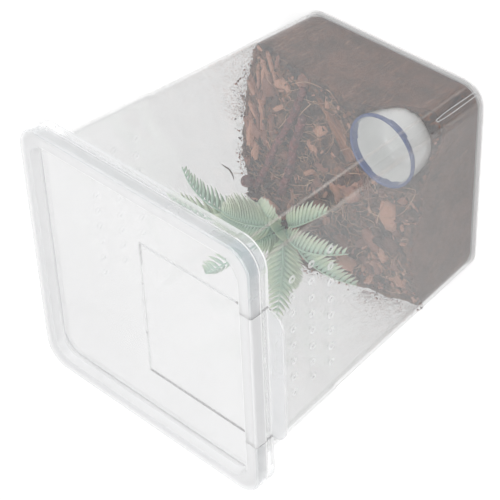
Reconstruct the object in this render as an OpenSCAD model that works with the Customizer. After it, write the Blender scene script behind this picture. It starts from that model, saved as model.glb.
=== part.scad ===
// Clear plastic pet keeper: a tapered square tub with a press-on lid and a hinged feeding
// flap, dressed with a bed of substrate, bark, twigs, a water dish and a fern.
// Millimetres, +Z up. The origin is the centre of the tub's flat base. The flap opens
// over the -Y wall, and the vents are in the -Y and +Y walls.

/* [Tub] */
// Outside width of the tub at its base
tub_base_w = 156.6; // [140:0.2:166]
// Outside width of the tub just under its snap rim
tub_top_w = 178.6; // [172:0.2:186]
// Height of the tub from the base to the top of its rim
tub_h = 242.4; // [225:0.2:270]
// Thickness of the side walls
tub_wall = 1.8; // [1.2:0.1:2.6]
// Thickness of the floor
tub_floor = 2.2; // [1.5:0.1:4]
// Corner radius of the tub at its base
tub_base_r = 16.5; // [12:0.5:22]
// Corner radius of the tub under its rim
tub_top_r = 12.5; // [9:0.5:16]
// Rounding where the walls turn into the base
foot_r = 2; // [1:0.5:4]
// Height of the small outward step in the walls
step_h = 154; // [125:1:156]
// How far the walls step outward there
step_out = 0.8; // [0.4:0.1:1.4]

/* [Snap rim] */
// Height of the rim from its shelf to its top
rim_h = 11.4; // [9:0.2:14]
// How far the shelf widens the mouth, each side
mouth_out = 5.9; // [5.6:0.1:6.6]
// How far the lip stands out beyond the walls, each side
lip_out = 8.2; // [7.8:0.1:9.5]
// Thickness of the rim, its shelf and its lip
rim_t = 1.4; // [1:0.1:1.4]
// Corner radius of the outside of the lip
lip_r = 15.5; // [13:0.5:20]
// Height of the lip's lower edge above the shelf
lip_up = 1; // [0.5:0.1:2]

/* [Vents] */
// Diameter of one vent hole
vent_d = 2.4; // [1.5:0.1:4]
// Diameter of the raised collar round a vent
collar_d = 5.8; // [5:0.1:8]
// How far a collar stands out of the wall
collar_h = 0.5; // [0.3:0.1:1]
// Vents in one row
vent_cols = 8; // [4:1:9]
// Rows of vents
vent_rows = 3; // [1:1:4]
// Distance between vents along a row
vent_pitch_x = 13.4; // [10:0.1:14.5]
// Distance between rows
vent_pitch_z = 18.1; // [10:0.1:18.4]
// Height of the top row
vent_top_z = 196.3; // [190:0.1:205]

/* [Lid] */
// Thickness of the lid
lid_t = 1.6; // [1.2:0.1:2]
// Depth of the lid's skirt below the lid's top
skirt_h = 15.6; // [14:0.2:18]
// Gap between the tub's lip and the lid's skirt
skirt_gap = 0.9; // [0.7:0.1:1.4]
// Width of the raised rim round the lid
lid_rim_w = 10; // [9:0.5:12]
// Depth of the sunken panel below the raised rim
panel_drop = 5.4; // [4:0.2:7]
// How far the rim's inner wall slopes in on its way down
panel_slope = 3; // [2:0.5:5]
// Corner radius of the rim's inner edge
panel_r = 15; // [10:0.5:18]
// Rounding of the lid's top outer edge
lid_edge_r = 1.4; // [0.8:0.1:1.6]
// Gap between the tub's shelf and the snap beads below it
bead_gap = 0.3; // [0.2:0.1:0.6]
// How far the snap beads stand in from the skirt
bead_out = 0.7; // [0.4:0.1:0.7]
// Height of a snap bead
bead_h = 2; // [1.2:0.1:2.4]
// Distance from the lid's corners to the ends of the beads
bead_end = 20; // [18:1:35]

/* [Feeding flap] */
// Width of the flap
flap_w = 105.6; // [80:0.2:112]
// Distance from the lid's centre to the hinge line
hinge_y = 0; // [-20:1:12]
// Gap along the sides of the flap
seam = 0.4; // [0.2:0.1:0.8]
// Width of the hinge slit
hinge_gap = 1.2; // [0.8:0.1:2]
// Length of the thin web that is the hinge
film_w = 42; // [20:1:70]
// Thickness of the thin web
film_t = 0.4; // [0.3:0.1:0.8]
// Width of the raised rim on the flap
flap_rim_w = 8; // [7:0.5:9]
// Rounding of the flap's top front edge
flap_edge_r = 3; // [2:0.2:4]
// How far the grip stands out in front of the flap
grip_out = 12; // [8:0.5:18]
// Thickness of the grip
grip_t = 1.8; // [1.2:0.1:2.6]
// Corner radius of the grip
grip_r = 11; // [6:0.5:16]

/* [Substrate] */
// Mean height of the substrate above the base
soil_level = 63; // [55:1:80]
// Clearance between the substrate and what it touches
bed_gap = 0.2; // [0.1:0.05:0.3]
// Height of the ripples in the substrate's top
ripple_h = 1.2; // [0:0.1:2]
// Length of a ripple
ripple_len = 54; // [40:1:80]
// Cells along each side of the substrate's uneven top
soil_cells = 16; // [10:1:24]

/* [Water dish] */
// Diameter of the dish's rolled rim
dish_d = 54; // [46:1:58]
// Height of the dish
dish_h = 27; // [20:1:32]
// Height of the dish's rim above the mean substrate
dish_proud = 7; // [4:1:12]
// Thickness of the dish
dish_t = 1.6; // [1.2:0.1:3]
// Gap between the dish's rim and the walls
dish_wall_gap = 1.2; // [0.6:0.1:3]
// How much further the dish stands from the flap's wall
dish_shift = 2.4; // [0:0.1:5]

/* [Wood] */
// Diameter of the long twig
twig_1_d = 5.6; // [4:0.2:8]
// Diameter of the short twig
twig_2_d = 6.4; // [4:0.2:8]
// Length of the bark slab
slab_len = 46; // [35:1:52]
// Width of the bark slab
slab_w = 10; // [7:0.5:12]
// Thickness of the bark slab
slab_t = 4; // [2.5:0.5:6]
// Length of the largest bark chip
chip_len = 21; // [15:1:24]
// Thickness of a bark chip
chip_t = 4; // [2.5:0.5:6]

/* [Fern] */
// Height of the fern's crown above the mean substrate
crown_up = 26; // [20:1:36]
// Diameter of the fern's stem
stem_d = 8; // [6:0.5:10]
// How deep the stem is rooted
stem_root = 12; // [8:1:18]
// Height between the tiers of fronds
tier_h = 3.5; // [3:0.1:5]
// Clearance between a frond and the stem
frond_gap = 0.15; // [0.1:0.05:0.3]
// Diameter of a frond's midrib at its base
midrib_d = 1.8; // [1.2:0.1:2]
// Length of the longest leaflets
leaflet_len = 11; // [6:0.5:13]
// Width of a leaflet
leaflet_w = 3; // [2:0.2:4]
// Thickness of a leaflet
leaflet_t = 0.7; // [0.5:0.1:1.2]
// Pairs of leaflets along a frond
leaflet_pairs = 11; // [6:1:14]

/* [Hidden] */
$fn = 48;
HULL_FN = 32;
EPS = 0.01;
CUT = 40; // reach of a cutting tool past what it cuts
PAST = 1; // how far a straight cut runs on past a face

// Rim, measured from the centre and from the base
base_half = tub_base_w / 2;
top_half = tub_top_w / 2;
shelf_z = tub_h - rim_h;
draft = atan((top_half - base_half) / shelf_z);
mouth_half = top_half + mouth_out - rim_t;
mouth_r = lip_r - lip_out + mouth_out - rim_t;
lip_half = top_half + lip_out;

// Lid, from the rim outwards
lid_top = tub_h + lid_t;
lid_half = lip_half + skirt_gap + lid_t;
lid_r = lip_r + skirt_gap + lid_t;
skirt_z = lid_top - skirt_h;
skirt_in = lid_half - lid_t;
rim_in = lid_half - lid_rim_w;
panel_z = lid_top - panel_drop;
panel_half = rim_in - panel_slope;
bead_z = shelf_z - bead_gap - bead_h;
bead_len = 2 * (lid_half - bead_end);

// Flap
flap_rim_in = lid_half - flap_rim_w;

// Dish, in the corner between the +X and -Y walls
dish_top = soil_level + dish_proud;
dish_reach = cavity_half(dish_top) - dish_d / 2 - dish_wall_gap;
dish_x = dish_reach;
dish_y = -dish_reach + dish_shift;
dish_belly_r = dish_d / 2 - 1.25 * dish_t;
dish_foot_r = dish_d / 3;

// Fern, as shares of the free half-width inside the tub
FERN = [-0.54, 0.325];
fern_half = cavity_half(soil_level + crown_up);
fern_xy = FERN * fern_half;
crown_z = soil_level + crown_up;
stem_r = stem_d / 2;
// Each frond: tip across, along and above the crown, and its arch, as shares of that
// half-width; then its tier
FRONDS = [
    [0.16, 0.88, 0.50, 0.25, 1],
    [-0.32, 0.86, 0.27, 0.10, 0],
    [-0.02, 0.54, 0.025, 0.15, 0],
    [-0.02, 0.13, 0.15, 0.325, 1],
    [0.04, -0.26, -0.05, 0.20, 0],
    [-0.26, -0.52, 0.075, 0.325, 1],
    [-0.66, -0.64, -0.075, 0.175, 0],
    [-0.62, -0.36, 0.72, 0.15, 2],
    [-0.83, 0.68, 0.47, 0.15, 1],
    [-0.90, -0.05, 0.30, 0.175, 0],
];

// Mounds and dips of the substrate: across and along as shares of its half-width, height as
// a share of its level, spread as a share of its half-width
MOUNDS = [
    [-0.38, -1.00, 0.16, 0.28],
    [-1.00, 0.20, 0.19, 0.32],
    [1.00, -0.30, 0.13, 0.20],
    [0.95, 1.00, -0.14, 0.33],
    [-1.00, -0.95, -0.13, 0.25],
    [0.90, -0.92, -0.27, 0.24],
    [0.00, 1.00, 0.08, 0.33],
];

// Wood on the substrate, as shares of the half-width there
bed_half = cavity_half(soil_level);
TWIG_1 = [[0.83, 0.26], [-0.50, 0.87]];
TWIG_2 = [[0.56, 0.28], [-0.40, 0.52]];
SLAB = [0.57, -0.06];
SLAB_TURN = 38;
// Bark chips: across, along, turn, size as a share of the largest
CHIPS = [
    [0.62, 0.74, 20, 1.0],
    [0.16, 0.85, 75, 0.7],
    [-0.02, -0.24, 130, 0.9],
    [0.00, -0.68, 10, 1.0],
    [-0.36, -0.50, 60, 0.8],
    [-0.66, -0.80, 155, 0.7],
    [-0.76, -0.22, 95, 0.8],
];

// ---- Shared geometry of the tub ----

// Outside half-width of the wall at height z, below the step and above it
function wall_half(z) = base_half + (top_half - base_half) * z / shelf_z - (z < step_h ? step_out : 0)
    + step_out * (1 - z / shelf_z);
function wall_r(z) = tub_base_r + (tub_top_r - tub_base_r) * z / shelf_z;
function cavity_half(z) = wall_half(z) - tub_wall;

// A thin level slab with round corners, from z up to z + t
module slab(half, r, z, t = EPS) {
    translate([0, 0, z])
        linear_extrude(t) {
            square([2 * half, 2 * (half - r)], center = true);
            square([2 * (half - r), 2 * half], center = true);
            for (sx = [-1, 1], sy = [-1, 1])
                translate([sx * (half - r), sy * (half - r)])
                    circle(r);
        }
}

// A straight-sided ring with round corners, from z0 to z1
module ring(outer, outer_r, inner, inner_r, z0, z1) {
    difference() {
        slab(outer, outer_r, z0, z1 - z0);
        slab(inner, inner_r, z0 - PAST, z1 - z0 + 2 * PAST);
    }
}

// The walls as solids, drawn in by a margin: outside at 0, the cavity at the wall's thickness
module lower_form(margin, floor_z) {
    hull() {
        slab(wall_half(floor_z) - margin - foot_r, wall_r(0) - foot_r, floor_z, $fn = HULL_FN);
        slab(wall_half(floor_z) - margin - foot_r * 0.3, wall_r(0) - foot_r * 0.3,
            floor_z + foot_r * 0.3, $fn = HULL_FN);
        slab(wall_half(floor_z + foot_r) - margin, wall_r(foot_r), floor_z + foot_r, $fn = HULL_FN);
        slab(wall_half(step_h - EPS) - margin, wall_r(step_h), step_h - EPS, $fn = HULL_FN);
    }
}

module upper_form(margin, top_z) {
    hull() {
        slab(wall_half(step_h) - margin, wall_r(step_h), step_h - EPS, $fn = HULL_FN);
        slab(wall_half(top_z) - margin, wall_r(top_z), top_z, $fn = HULL_FN);
    }
}

// Places children on the outside of a side wall, their +Z along the wall's outward normal
module on_wall(side, x, z) {
    translate([x, side * wall_half(z), z])
        rotate([-side * (90 + draft), 0, 0])
            children();
}

module each_vent() {
    for (side = [-1, 1], row = [0:vent_rows - 1], col = [0:vent_cols - 1])
        on_wall(side, (col - (vent_cols - 1) / 2) * vent_pitch_x, vent_top_z - row * vent_pitch_z)
            children();
}

// ---- Tub ----

// One moulding: drafted walls, floor, shelf, mouth, flange and turned-down lip
module tub() {
    color([0.9, 0.92, 0.93, 0.35])
        difference() {
            union() {
                lower_form(0, 0);
                upper_form(0, shelf_z);
                slab(mouth_half + rim_t, mouth_r + rim_t, shelf_z, rim_h);
                ring(lip_half, lip_r, lip_half - rim_t, lip_r - rim_t, shelf_z + lip_up, tub_h);
                ring(lip_half - EPS, lip_r, mouth_half, mouth_r, tub_h - rim_t, tub_h);
                each_vent()
                    translate([0, 0, -tub_wall / 2])
                        cylinder(d = collar_d, h = tub_wall / 2 + collar_h);
            }
            lower_form(tub_wall, tub_floor);
            upper_form(tub_wall, shelf_z + rim_t);
            slab(mouth_half, mouth_r, shelf_z + rim_t, rim_h);
            each_vent()
                translate([0, 0, -3 * tub_wall])
                    cylinder(d = vent_d, h = 4 * tub_wall + collar_h, $fn = 24);
        }
}

// ---- Lid ----

// Outside of the lid, with its rounded top edge
module lid_form() {
    hull() {
        slab(lid_half, lid_r, skirt_z, $fn = HULL_FN);
        slab(lid_half, lid_r, lid_top - lid_edge_r, $fn = HULL_FN);
        slab(lid_half - lid_edge_r * 0.3, lid_r - lid_edge_r * 0.3, lid_top - lid_edge_r * 0.3, $fn = HULL_FN);
        slab(lid_half - lid_edge_r, lid_r - lid_edge_r, lid_top - EPS, $fn = HULL_FN);
    }
}

// A sunken square with sloping sides, from z_low up to z_high, set out from the panel by a margin
module sunken_form(margin, z_low, z_high) {
    hull() {
        slab(panel_half + margin, panel_r - panel_slope + margin, z_low, $fn = HULL_FN);
        slab(panel_half + margin + panel_slope * (z_high - z_low) / panel_drop,
            panel_r - panel_slope + margin + panel_slope * (z_high - z_low) / panel_drop,
            z_high, $fn = HULL_FN);
    }
}

// Half-round bead along the inside of a skirt that faces -Y, its crown bead_out inwards
module bead_along_x(len) {
    translate([-len / 2, -skirt_in, bead_z])
        rotate([90, 0, 90])
            linear_extrude(len)
                polygon([[-lid_t / 2, 0], [0, 0], [bead_out, bead_h * 0.35], [bead_out, bead_h * 0.65],
                    [0, bead_h], [-lid_t / 2, bead_h]]);
}

// Space left for the flap, its hinge slit and its seams
module flap_opening() {
    translate([-flap_w / 2 - seam, -lid_half - CUT, skirt_z - PAST])
        cube([flap_w + 2 * seam, lid_half + CUT + hinge_y + hinge_gap / 2, skirt_h + 2 * PAST]);
}

// Raised rim, sunken panel, skirt and snap beads
module lid() {
    color([0.93, 0.94, 0.95, 0.35])
        difference() {
            union() {
                difference() {
                    lid_form();
                    slab(skirt_in, lid_r - lid_t, skirt_z - PAST, tub_h - skirt_z + PAST);
                }
                sunken_form(lid_t * 0.6, panel_z - lid_t, tub_h + EPS);
                for (turn = [0, 90, 180, 270])
                    rotate(turn)
                        bead_along_x(bead_len);
            }
            sunken_form(0, panel_z, lid_top + EPS);
            flap_opening();
        }
}

// ---- Feeding flap ----

// Cross-section of the flap: forward distance from the hinge line, and height
function flap_section() = let (
    start = hinge_gap / 2 - hinge_y,
    low = panel_z - lid_t,
    slope_in = flap_rim_in - panel_slope * 0.6,
    arc_in = lid_half - flap_edge_r
) concat(
    [[start, low], [start, panel_z], [slope_in, panel_z], [flap_rim_in, lid_top]],
    [for (a = [90:-15:0]) [arc_in + flap_edge_r * cos(a), lid_top - flap_edge_r + flap_edge_r * sin(a)]],
    [[lid_half, skirt_z], [skirt_in, skirt_z], [skirt_in, bead_z],
        [skirt_in - bead_out, bead_z + bead_h * 0.35], [skirt_in - bead_out, bead_z + bead_h * 0.65],
        [skirt_in, bead_z + bead_h], [skirt_in, tub_h], [flap_rim_in + lid_t / 4, tub_h],
        [slope_in + lid_t / 8, low]]
);

// Hinged part of the lid: panel, rim, skirt and the grip that stands out in front
module feed_flap() {
    color([0.93, 0.94, 0.95, 0.35]) {
        translate([-flap_w / 2, 0, 0])
            rotate([90, 0, 90])
                linear_extrude(flap_w)
                    mirror([1, 0])
                        polygon(flap_section());
        translate([0, -lid_half, skirt_z])
            linear_extrude(grip_t) {
                translate([-flap_w / 2, -(grip_out - grip_r)])
                    square([flap_w, grip_out - grip_r + lid_t]);
                translate([-flap_w / 2 + grip_r, -grip_out])
                    square([flap_w - 2 * grip_r, grip_out]);
                for (s = [-1, 1])
                    translate([s * (flap_w / 2 - grip_r), -(grip_out - grip_r)])
                        circle(grip_r);
            }
    }
}

// Thin web across the hinge slit, moulded with the lid and the flap
module hinge_film() {
    color([0.95, 0.96, 0.97, 0.6])
        translate([-film_w / 2, hinge_y - hinge_gap / 2, panel_z - film_t])
            cube([film_w, hinge_gap, film_t]);
}

// ---- Substrate ----

// Height of the substrate's top at x, y
function soil_z(x, y) = soil_level + ripple_h * sin(360 * x / ripple_len) * cos(360 * y / ripple_len)
    + sum([for (m = MOUNDS) m[2] * soil_level * bell([x, y] / bed_half - [m[0], m[1]], m[3])]);
function bell(off, spread) = exp(-(off * off) / (2 * spread * spread));
function sum(v, i = 0) = i < len(v) ? v[i] + sum(v, i + 1) : 0;

// Block with an uneven top, wider than the tub
module soil_block() {
    side = 2 * top_half;
    n = soil_cells;
    top = [for (j = [0:n], i = [0:n]) let (x = side * (i / n - 0.5), y = side * (j / n - 0.5))
        [x, y, soil_z(x, y)]];
    low = [for (c = [[-1, -1], [1, -1], [1, 1], [-1, 1]]) [c[0] * side / 2, c[1] * side / 2, -PAST]];
    at = (n + 1) * (n + 1);
    polyhedron(
        concat(top, low),
        concat(
            [for (j = [0:n - 1], i = [0:n - 1]) let (k = j * (n + 1) + i) [k + n + 1, k + 1, k]],
            [for (j = [0:n - 1], i = [0:n - 1]) let (k = j * (n + 1) + i) [k + n + 1, k + n + 2, k + 1]],
            [[at, at + 1, at + 2, at + 3]],
            [concat([for (i = [0:n]) i], [at + 1, at])],
            [concat([for (i = [n:-1:0]) n * (n + 1) + i], [at + 3, at + 2])],
            [concat([for (j = [0:n]) j * (n + 1) + n], [at + 2, at + 1])],
            [concat([for (j = [n:-1:0]) j * (n + 1)], [at, at + 3])]
        )
    );
}

// Fills the tub to its uneven top, with a bed for all that is set in it
module soil_bed() {
    color([0.33, 0.22, 0.16])
        difference() {
            intersection() {
                soil_block();
                lower_form(tub_wall + bed_gap, tub_floor);
            }
            dish_form(bed_gap);
            stem_form(bed_gap);
            bark_slab_form(bed_gap);
            twig_form(TWIG_1, twig_1_d, bed_gap);
            twig_form(TWIG_2, twig_2_d, bed_gap);
            for (i = [1:len(CHIPS)])
                chip_form(i, bed_gap);
        }
}

// ---- Water dish ----

// Outside of the dish and the air above it, grown by a margin
module dish_form(margin) {
    translate([dish_x, dish_y, dish_top - dish_h - margin])
        rotate_extrude()
            polygon([[0, 0], [dish_foot_r + 2 * dish_t + margin, 0], [dish_belly_r + margin, dish_h * 0.45],
                [dish_d / 2 + margin, dish_h - 2 * dish_t], [dish_d / 2 + margin, 2 * dish_h], [0, 2 * dish_h]]);
}

// Half-section of the enamelled bowl: foot, curved side and rolled rim
module dish_section() {
    difference() {
        polygon([[0, 0], [dish_foot_r - dish_t * 0.6, 0], [dish_foot_r + dish_t * 1.5, dish_h * 0.12],
            [dish_belly_r - dish_t * 0.9, dish_h * 0.34], [dish_belly_r, dish_h * 0.6],
            [dish_belly_r + dish_t * 0.2, dish_h], [0, dish_h]]);
        polygon([[-PAST, dish_t], [dish_foot_r - dish_t * 1.25, dish_t],
            [dish_foot_r + dish_t * 0.9, dish_h * 0.12 + dish_t],
            [dish_belly_r - dish_t * 1.9, dish_h * 0.36], [dish_belly_r - dish_t, dish_h * 0.6],
            [dish_belly_r - dish_t, dish_h + PAST], [-PAST, dish_h + PAST]]);
    }
    translate([dish_d / 2 - dish_t, dish_h - dish_t])
        circle(dish_t);
}

module water_dish() {
    color([0.93, 0.94, 0.93])
        translate([dish_x, dish_y, dish_top - dish_h])
            rotate_extrude()
                dish_section();
}

// ---- Wood ----

// Places children on the substrate at shares fx, fy of its half-width, sunk by a third of t
module on_soil(fx, fy, turn, t) {
    x = fx * bed_half;
    y = fy * bed_half;
    translate([x, y, soil_z(x, y) - t * 0.35])
        rotate(turn)
            children();
}

// A straight round twig between two places on the substrate, grown by a margin
module twig_form(ends, d, margin) {
    a = ends[0] * bed_half;
    b = ends[1] * bed_half;
    za = soil_z(a[0], a[1]) + d * 0.2;
    zb = soil_z(b[0], b[1]) + d * 0.2;
    run = norm(b - a);
    translate([a[0], a[1], za])
        rotate([0, 0, atan2(b[1] - a[1], b[0] - a[0])])
            rotate([0, 90 - atan2(zb - za, run), 0])
                translate([0, 0, -margin])
                    cylinder(d = d + 2 * margin, h = norm([run, zb - za]) + 2 * margin, $fn = 24);
}

module twig_1() {
    color([0.36, 0.2, 0.18])
        twig_form(TWIG_1, twig_1_d, 0);
}

module twig_2() {
    color([0.42, 0.24, 0.2])
        twig_form(TWIG_2, twig_2_d, 0);
}

// A split slab of bark, thinner at its ends, grown by a margin
module bark_slab_form(margin) {
    on_soil(SLAB[0], SLAB[1], SLAB_TURN, slab_t)
        rotate([90, 0, 0])
            translate([0, 0, -slab_w / 2 - margin])
                linear_extrude(slab_w + 2 * margin)
                    polygon([[-slab_len / 2 - margin, -margin], [slab_len / 2 + margin, -margin],
                        [slab_len / 2 + margin, slab_t * 0.5 + margin], [slab_len / 4, slab_t + margin],
                        [-slab_len / 4, slab_t * 0.9 + margin], [-slab_len / 2 - margin, slab_t * 0.6 + margin]]);
}

module bark_slab() {
    color([0.5, 0.32, 0.22])
        bark_slab_form(0);
}

// A broken chip of bark with uneven sides, grown by a margin
module chip_form(i, margin) {
    chip = CHIPS[i - 1];
    l = chip_len * chip[3] / 2 + margin;
    w = l * 0.6;
    on_soil(chip[0], chip[1], chip[2], chip_t)
        translate([0, 0, -margin])
            linear_extrude(chip_t * chip[3] + 2 * margin)
                polygon([[-l, -w * 0.4], [-l * 0.5, -w], [l * 0.6, -w * 0.8], [l, w * 0.2],
                    [l * 0.3, w], [-l * 0.7, w * 0.7]]);
}

module bark_chip(i) {
    color([0.48, 0.29, 0.2])
        chip_form(i, 0);
}

// ---- Fern ----

// Short woody stem from the substrate up to the crown, grown by a margin
module stem_form(margin) {
    foot = soil_z(fern_xy[0], fern_xy[1]) - stem_root;
    translate([fern_xy[0], fern_xy[1], foot - margin])
        cylinder(r = stem_r + margin, h = crown_z - foot + margin);
}

module fern_stem() {
    color([0.35, 0.24, 0.16])
        stem_form(0);
}

function unit(v) = v / norm(v);
function bend(p, t) = (1 - t) * (1 - t) * p[0] + 2 * t * (1 - t) * p[1] + t * t * p[2];
function heading(p, t) = unit((1 - t) * (p[1] - p[0]) + t * (p[2] - p[1]));

// Root, control point and tip of a frond's midrib
function frond_line(f) = let (
    tip = [f[0] * fern_half, f[1] * fern_half, crown_z + f[2] * fern_half],
    out = unit([tip[0] - fern_xy[0], tip[1] - fern_xy[1], 0]),
    bark = [fern_xy[0], fern_xy[1], crown_z - stem_d + tier_h * f[4]] + stem_r * out,
    arch = (bark + tip) / 2 + [0, 0, f[3] * fern_half],
    root = bark + (midrib_d / 2 * unit(arch - bark)[2] + frond_gap) * out
) [root, arch, tip];

// Length of the leaflets at t along the frond: short at the root, longest past a third, short at the tip
function leaflet_share(t) = sin(180 * pow(t, 0.75)) * 0.8 + 0.2;

// Tapered six-sided midrib along the arch
module midrib(p) {
    steps = 8;
    rings = [for (i = [0:steps]) let (
        t = i / steps, along = heading(p, t), side = unit(cross(along, [0, 0, 1])), up = cross(side, along),
        r = midrib_d / 2 * (1 - 0.65 * t)
    ) for (a = [0:60:300]) bend(p, t) + r * (cos(a) * side + sin(a) * up)];
    polyhedron(rings, concat(
        [[for (a = [5:-1:0]) a]],
        [for (i = [0:steps - 1], a = [0:5]) let (k = i * 6) [k + a, k + (a + 1) % 6, k + 6 + a]],
        [for (i = [0:steps - 1], a = [0:5]) let (k = i * 6) [k + (a + 1) % 6, k + 6 + (a + 1) % 6, k + 6 + a]],
        [[for (a = [0:5]) steps * 6 + a]]
    ));
}

// One thin pointed leaflet from root to tip
module leaflet(root, dir, up, length) {
    side = cross(dir, up);
    mid = root + dir * length * 0.45;
    hull()
        polyhedron(
            [root, root + dir * length, mid + side * leaflet_w / 2, mid - side * leaflet_w / 2,
                mid + up * leaflet_t / 2, mid - up * leaflet_t / 2],
            [[0, 2, 4], [0, 4, 3], [0, 3, 5], [0, 5, 2], [1, 4, 2], [1, 3, 4], [1, 5, 3], [1, 2, 5]]
        );
}

// An arching frond: a midrib with pairs of leaflets that lean towards its tip
module fern_frond(i) {
    f = FRONDS[i - 1];
    p = frond_line(f);
    color([0.36, 0.6, 0.36]) {
        midrib(p);
        for (k = [1:leaflet_pairs], s = [-1, 1]) {
            t = 0.12 + 0.86 * k / (leaflet_pairs + 0.5);
            along = heading(p, t);
            side = unit(cross(along, [0, 0, 1]));
            up = cross(side, along);
            leaflet(bend(p, t), unit(0.55 * along + s * side + 0.12 * up), unit(up - 0.12 * s * side),
                leaflet_len * leaflet_share(t));
        }
    }
}

tub();
lid();
feed_flap();
hinge_film();
soil_bed();
water_dish();
bark_slab();
twig_1();
twig_2();
for (i = [1:len(CHIPS)]) bark_chip(i);
fern_stem();
for (i = [1:len(FRONDS)]) fern_frond(i);
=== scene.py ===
import math
import random
import bmesh
import bpy
from mathutils import Matrix, Quaternion, Vector, noise


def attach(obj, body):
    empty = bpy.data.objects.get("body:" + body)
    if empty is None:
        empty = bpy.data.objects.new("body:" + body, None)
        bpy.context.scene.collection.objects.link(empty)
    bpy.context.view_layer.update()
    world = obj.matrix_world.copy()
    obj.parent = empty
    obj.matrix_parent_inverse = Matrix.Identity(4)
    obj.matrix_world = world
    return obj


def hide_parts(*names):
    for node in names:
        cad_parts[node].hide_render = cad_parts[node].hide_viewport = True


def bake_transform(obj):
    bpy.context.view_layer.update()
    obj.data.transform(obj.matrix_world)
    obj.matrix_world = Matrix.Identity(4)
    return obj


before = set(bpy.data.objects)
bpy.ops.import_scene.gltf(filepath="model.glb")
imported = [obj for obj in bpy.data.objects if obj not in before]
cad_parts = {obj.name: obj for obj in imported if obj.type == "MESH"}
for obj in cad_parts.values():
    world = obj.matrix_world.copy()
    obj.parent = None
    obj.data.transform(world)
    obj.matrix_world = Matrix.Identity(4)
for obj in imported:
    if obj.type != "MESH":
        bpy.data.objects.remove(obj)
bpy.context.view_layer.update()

# ---- Camera -------------------------------------------------------------------------
# A long portrait lens held on its side, above the corner between the wall that the flap
# opens over and the plain wall on the right.
EYE = (0.761982, -0.662342, 0.796493)
AIM = (-0.0050, -0.0058, 0.1492)
ROLL = -124.829


def added(operator, name="", **settings):
    """What an operator adds, with all else deselected first."""
    bpy.ops.object.select_all(action="DESELECT")
    operator(**settings)
    made = bpy.context.object
    if name:
        made.name = name
    return made


camera = added(bpy.ops.object.camera_add, location=EYE)
sight = Vector(AIM) - camera.location
camera.rotation_mode = "QUATERNION"
camera.rotation_quaternion = sight.to_track_quat("-Z", "Y") @ Quaternion((0, 0, 1), math.radians(ROLL))
camera.data.lens = 132.147
camera.data.sensor_width = 36
scene = bpy.context.scene
scene.camera = camera

# ---- Studio -------------------------------------------------------------------------
# White paper under an even white sky, with a broad softbox over the lid and a weaker one
# by the right wall. The clear walls stand many layers deep, so the renderer is let
# through all of them.
LAYERS = 48


def linear(hex_colour):
    """Linear RGBA of an sRGB hex colour."""
    parts = [int(hex_colour[i:i + 2], 16) / 255 for i in (1, 3, 5)]
    return [c / 12.92 if c < 0.04045 else ((c + 0.055) / 1.055) ** 2.4 for c in parts] + [1]


def add(tree, kind, values={}, links={}, stops=(), **settings):
    """Adds a shader node with its settings, its inputs' values and links, and a ramp's stops.

    A link comes from a socket, or from a node's first output.
    """
    made = tree.nodes.new("ShaderNode" + kind)
    for name, value in settings.items():
        setattr(made, name, value)
    for socket, value in values.items():
        made.inputs[socket].default_value = value
    for socket, source in links.items():
        output = source.outputs[0] if isinstance(source, bpy.types.Node) else source
        tree.links.new(output, made.inputs[socket])
    if stops:
        ramp = made.color_ramp.elements
        for end, (position, colour) in zip((ramp[0], ramp[1]), (stops[0], stops[-1])):
            end.position = position
            end.color = linear(colour)
        for position, colour in stops[1:-1]:
            ramp.new(position).color = linear(colour)
    return made


def bare_material(name):
    """A material with an empty node tree."""
    material = bpy.data.materials.new(name)
    material.use_nodes = True
    material.node_tree.nodes.clear()
    return material, material.node_tree


scene.view_settings.view_transform = "Standard"
scene.cycles.transparent_max_bounces = LAYERS
scene.cycles.max_bounces = LAYERS // 3

# The sky looks pure white, and lights the keeper a little less than that.
world = bpy.data.worlds.new("even_sky")
scene.world = world
world.use_nodes = True
sky = world.node_tree
sky.nodes.clear()
path = add(sky, "LightPath")
plain_view = add(sky, "Math", operation="MAXIMUM",
                 links={0: path.outputs["Is Camera Ray"], 1: path.outputs["Is Transmission Ray"]})
lamp_sky = add(sky, "Background", {"Color": linear("#ffffff"), "Strength": 0.62})
white_sky = add(sky, "Background", {"Color": linear("#ffffff"), "Strength": 1.0})
either_sky = add(sky, "MixShader", links={0: plain_view, 1: lamp_sky, 2: white_sky})
add(sky, "OutputWorld", links={0: either_sky})


def softbox(name, place, target, size, watts):
    """A square area lamp that faces a point."""
    lamp = added(bpy.ops.object.light_add, name, type="AREA", location=place)
    lamp.rotation_euler = (Vector(target) - Vector(place)).to_track_quat("-Z", "Y").to_euler()
    lamp.data.shape = "SQUARE"
    lamp.data.size = size
    lamp.data.energy = watts
    return lamp


softbox("softbox_over", (0.3, -0.5, 1.7), (0, 0, 0.1), 1.2, 14)
softbox("softbox_right", (1.6, 0.5, 0.7), (0, 0, 0.1), 0.9, 7)
# Two narrow strips on either side light nothing, and only shine back from the glazed dish.
for number, place in enumerate(((-0.07, -1.14, 0.58), (1.12, -0.05, 0.63)), 1):
    strip = softbox(f"glint_strip_{number}", place, (0.05, -0.05, 0.06), 0.36, 4)
    strip.scale.x = 0.35
    strip.visible_diffuse = False

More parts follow.
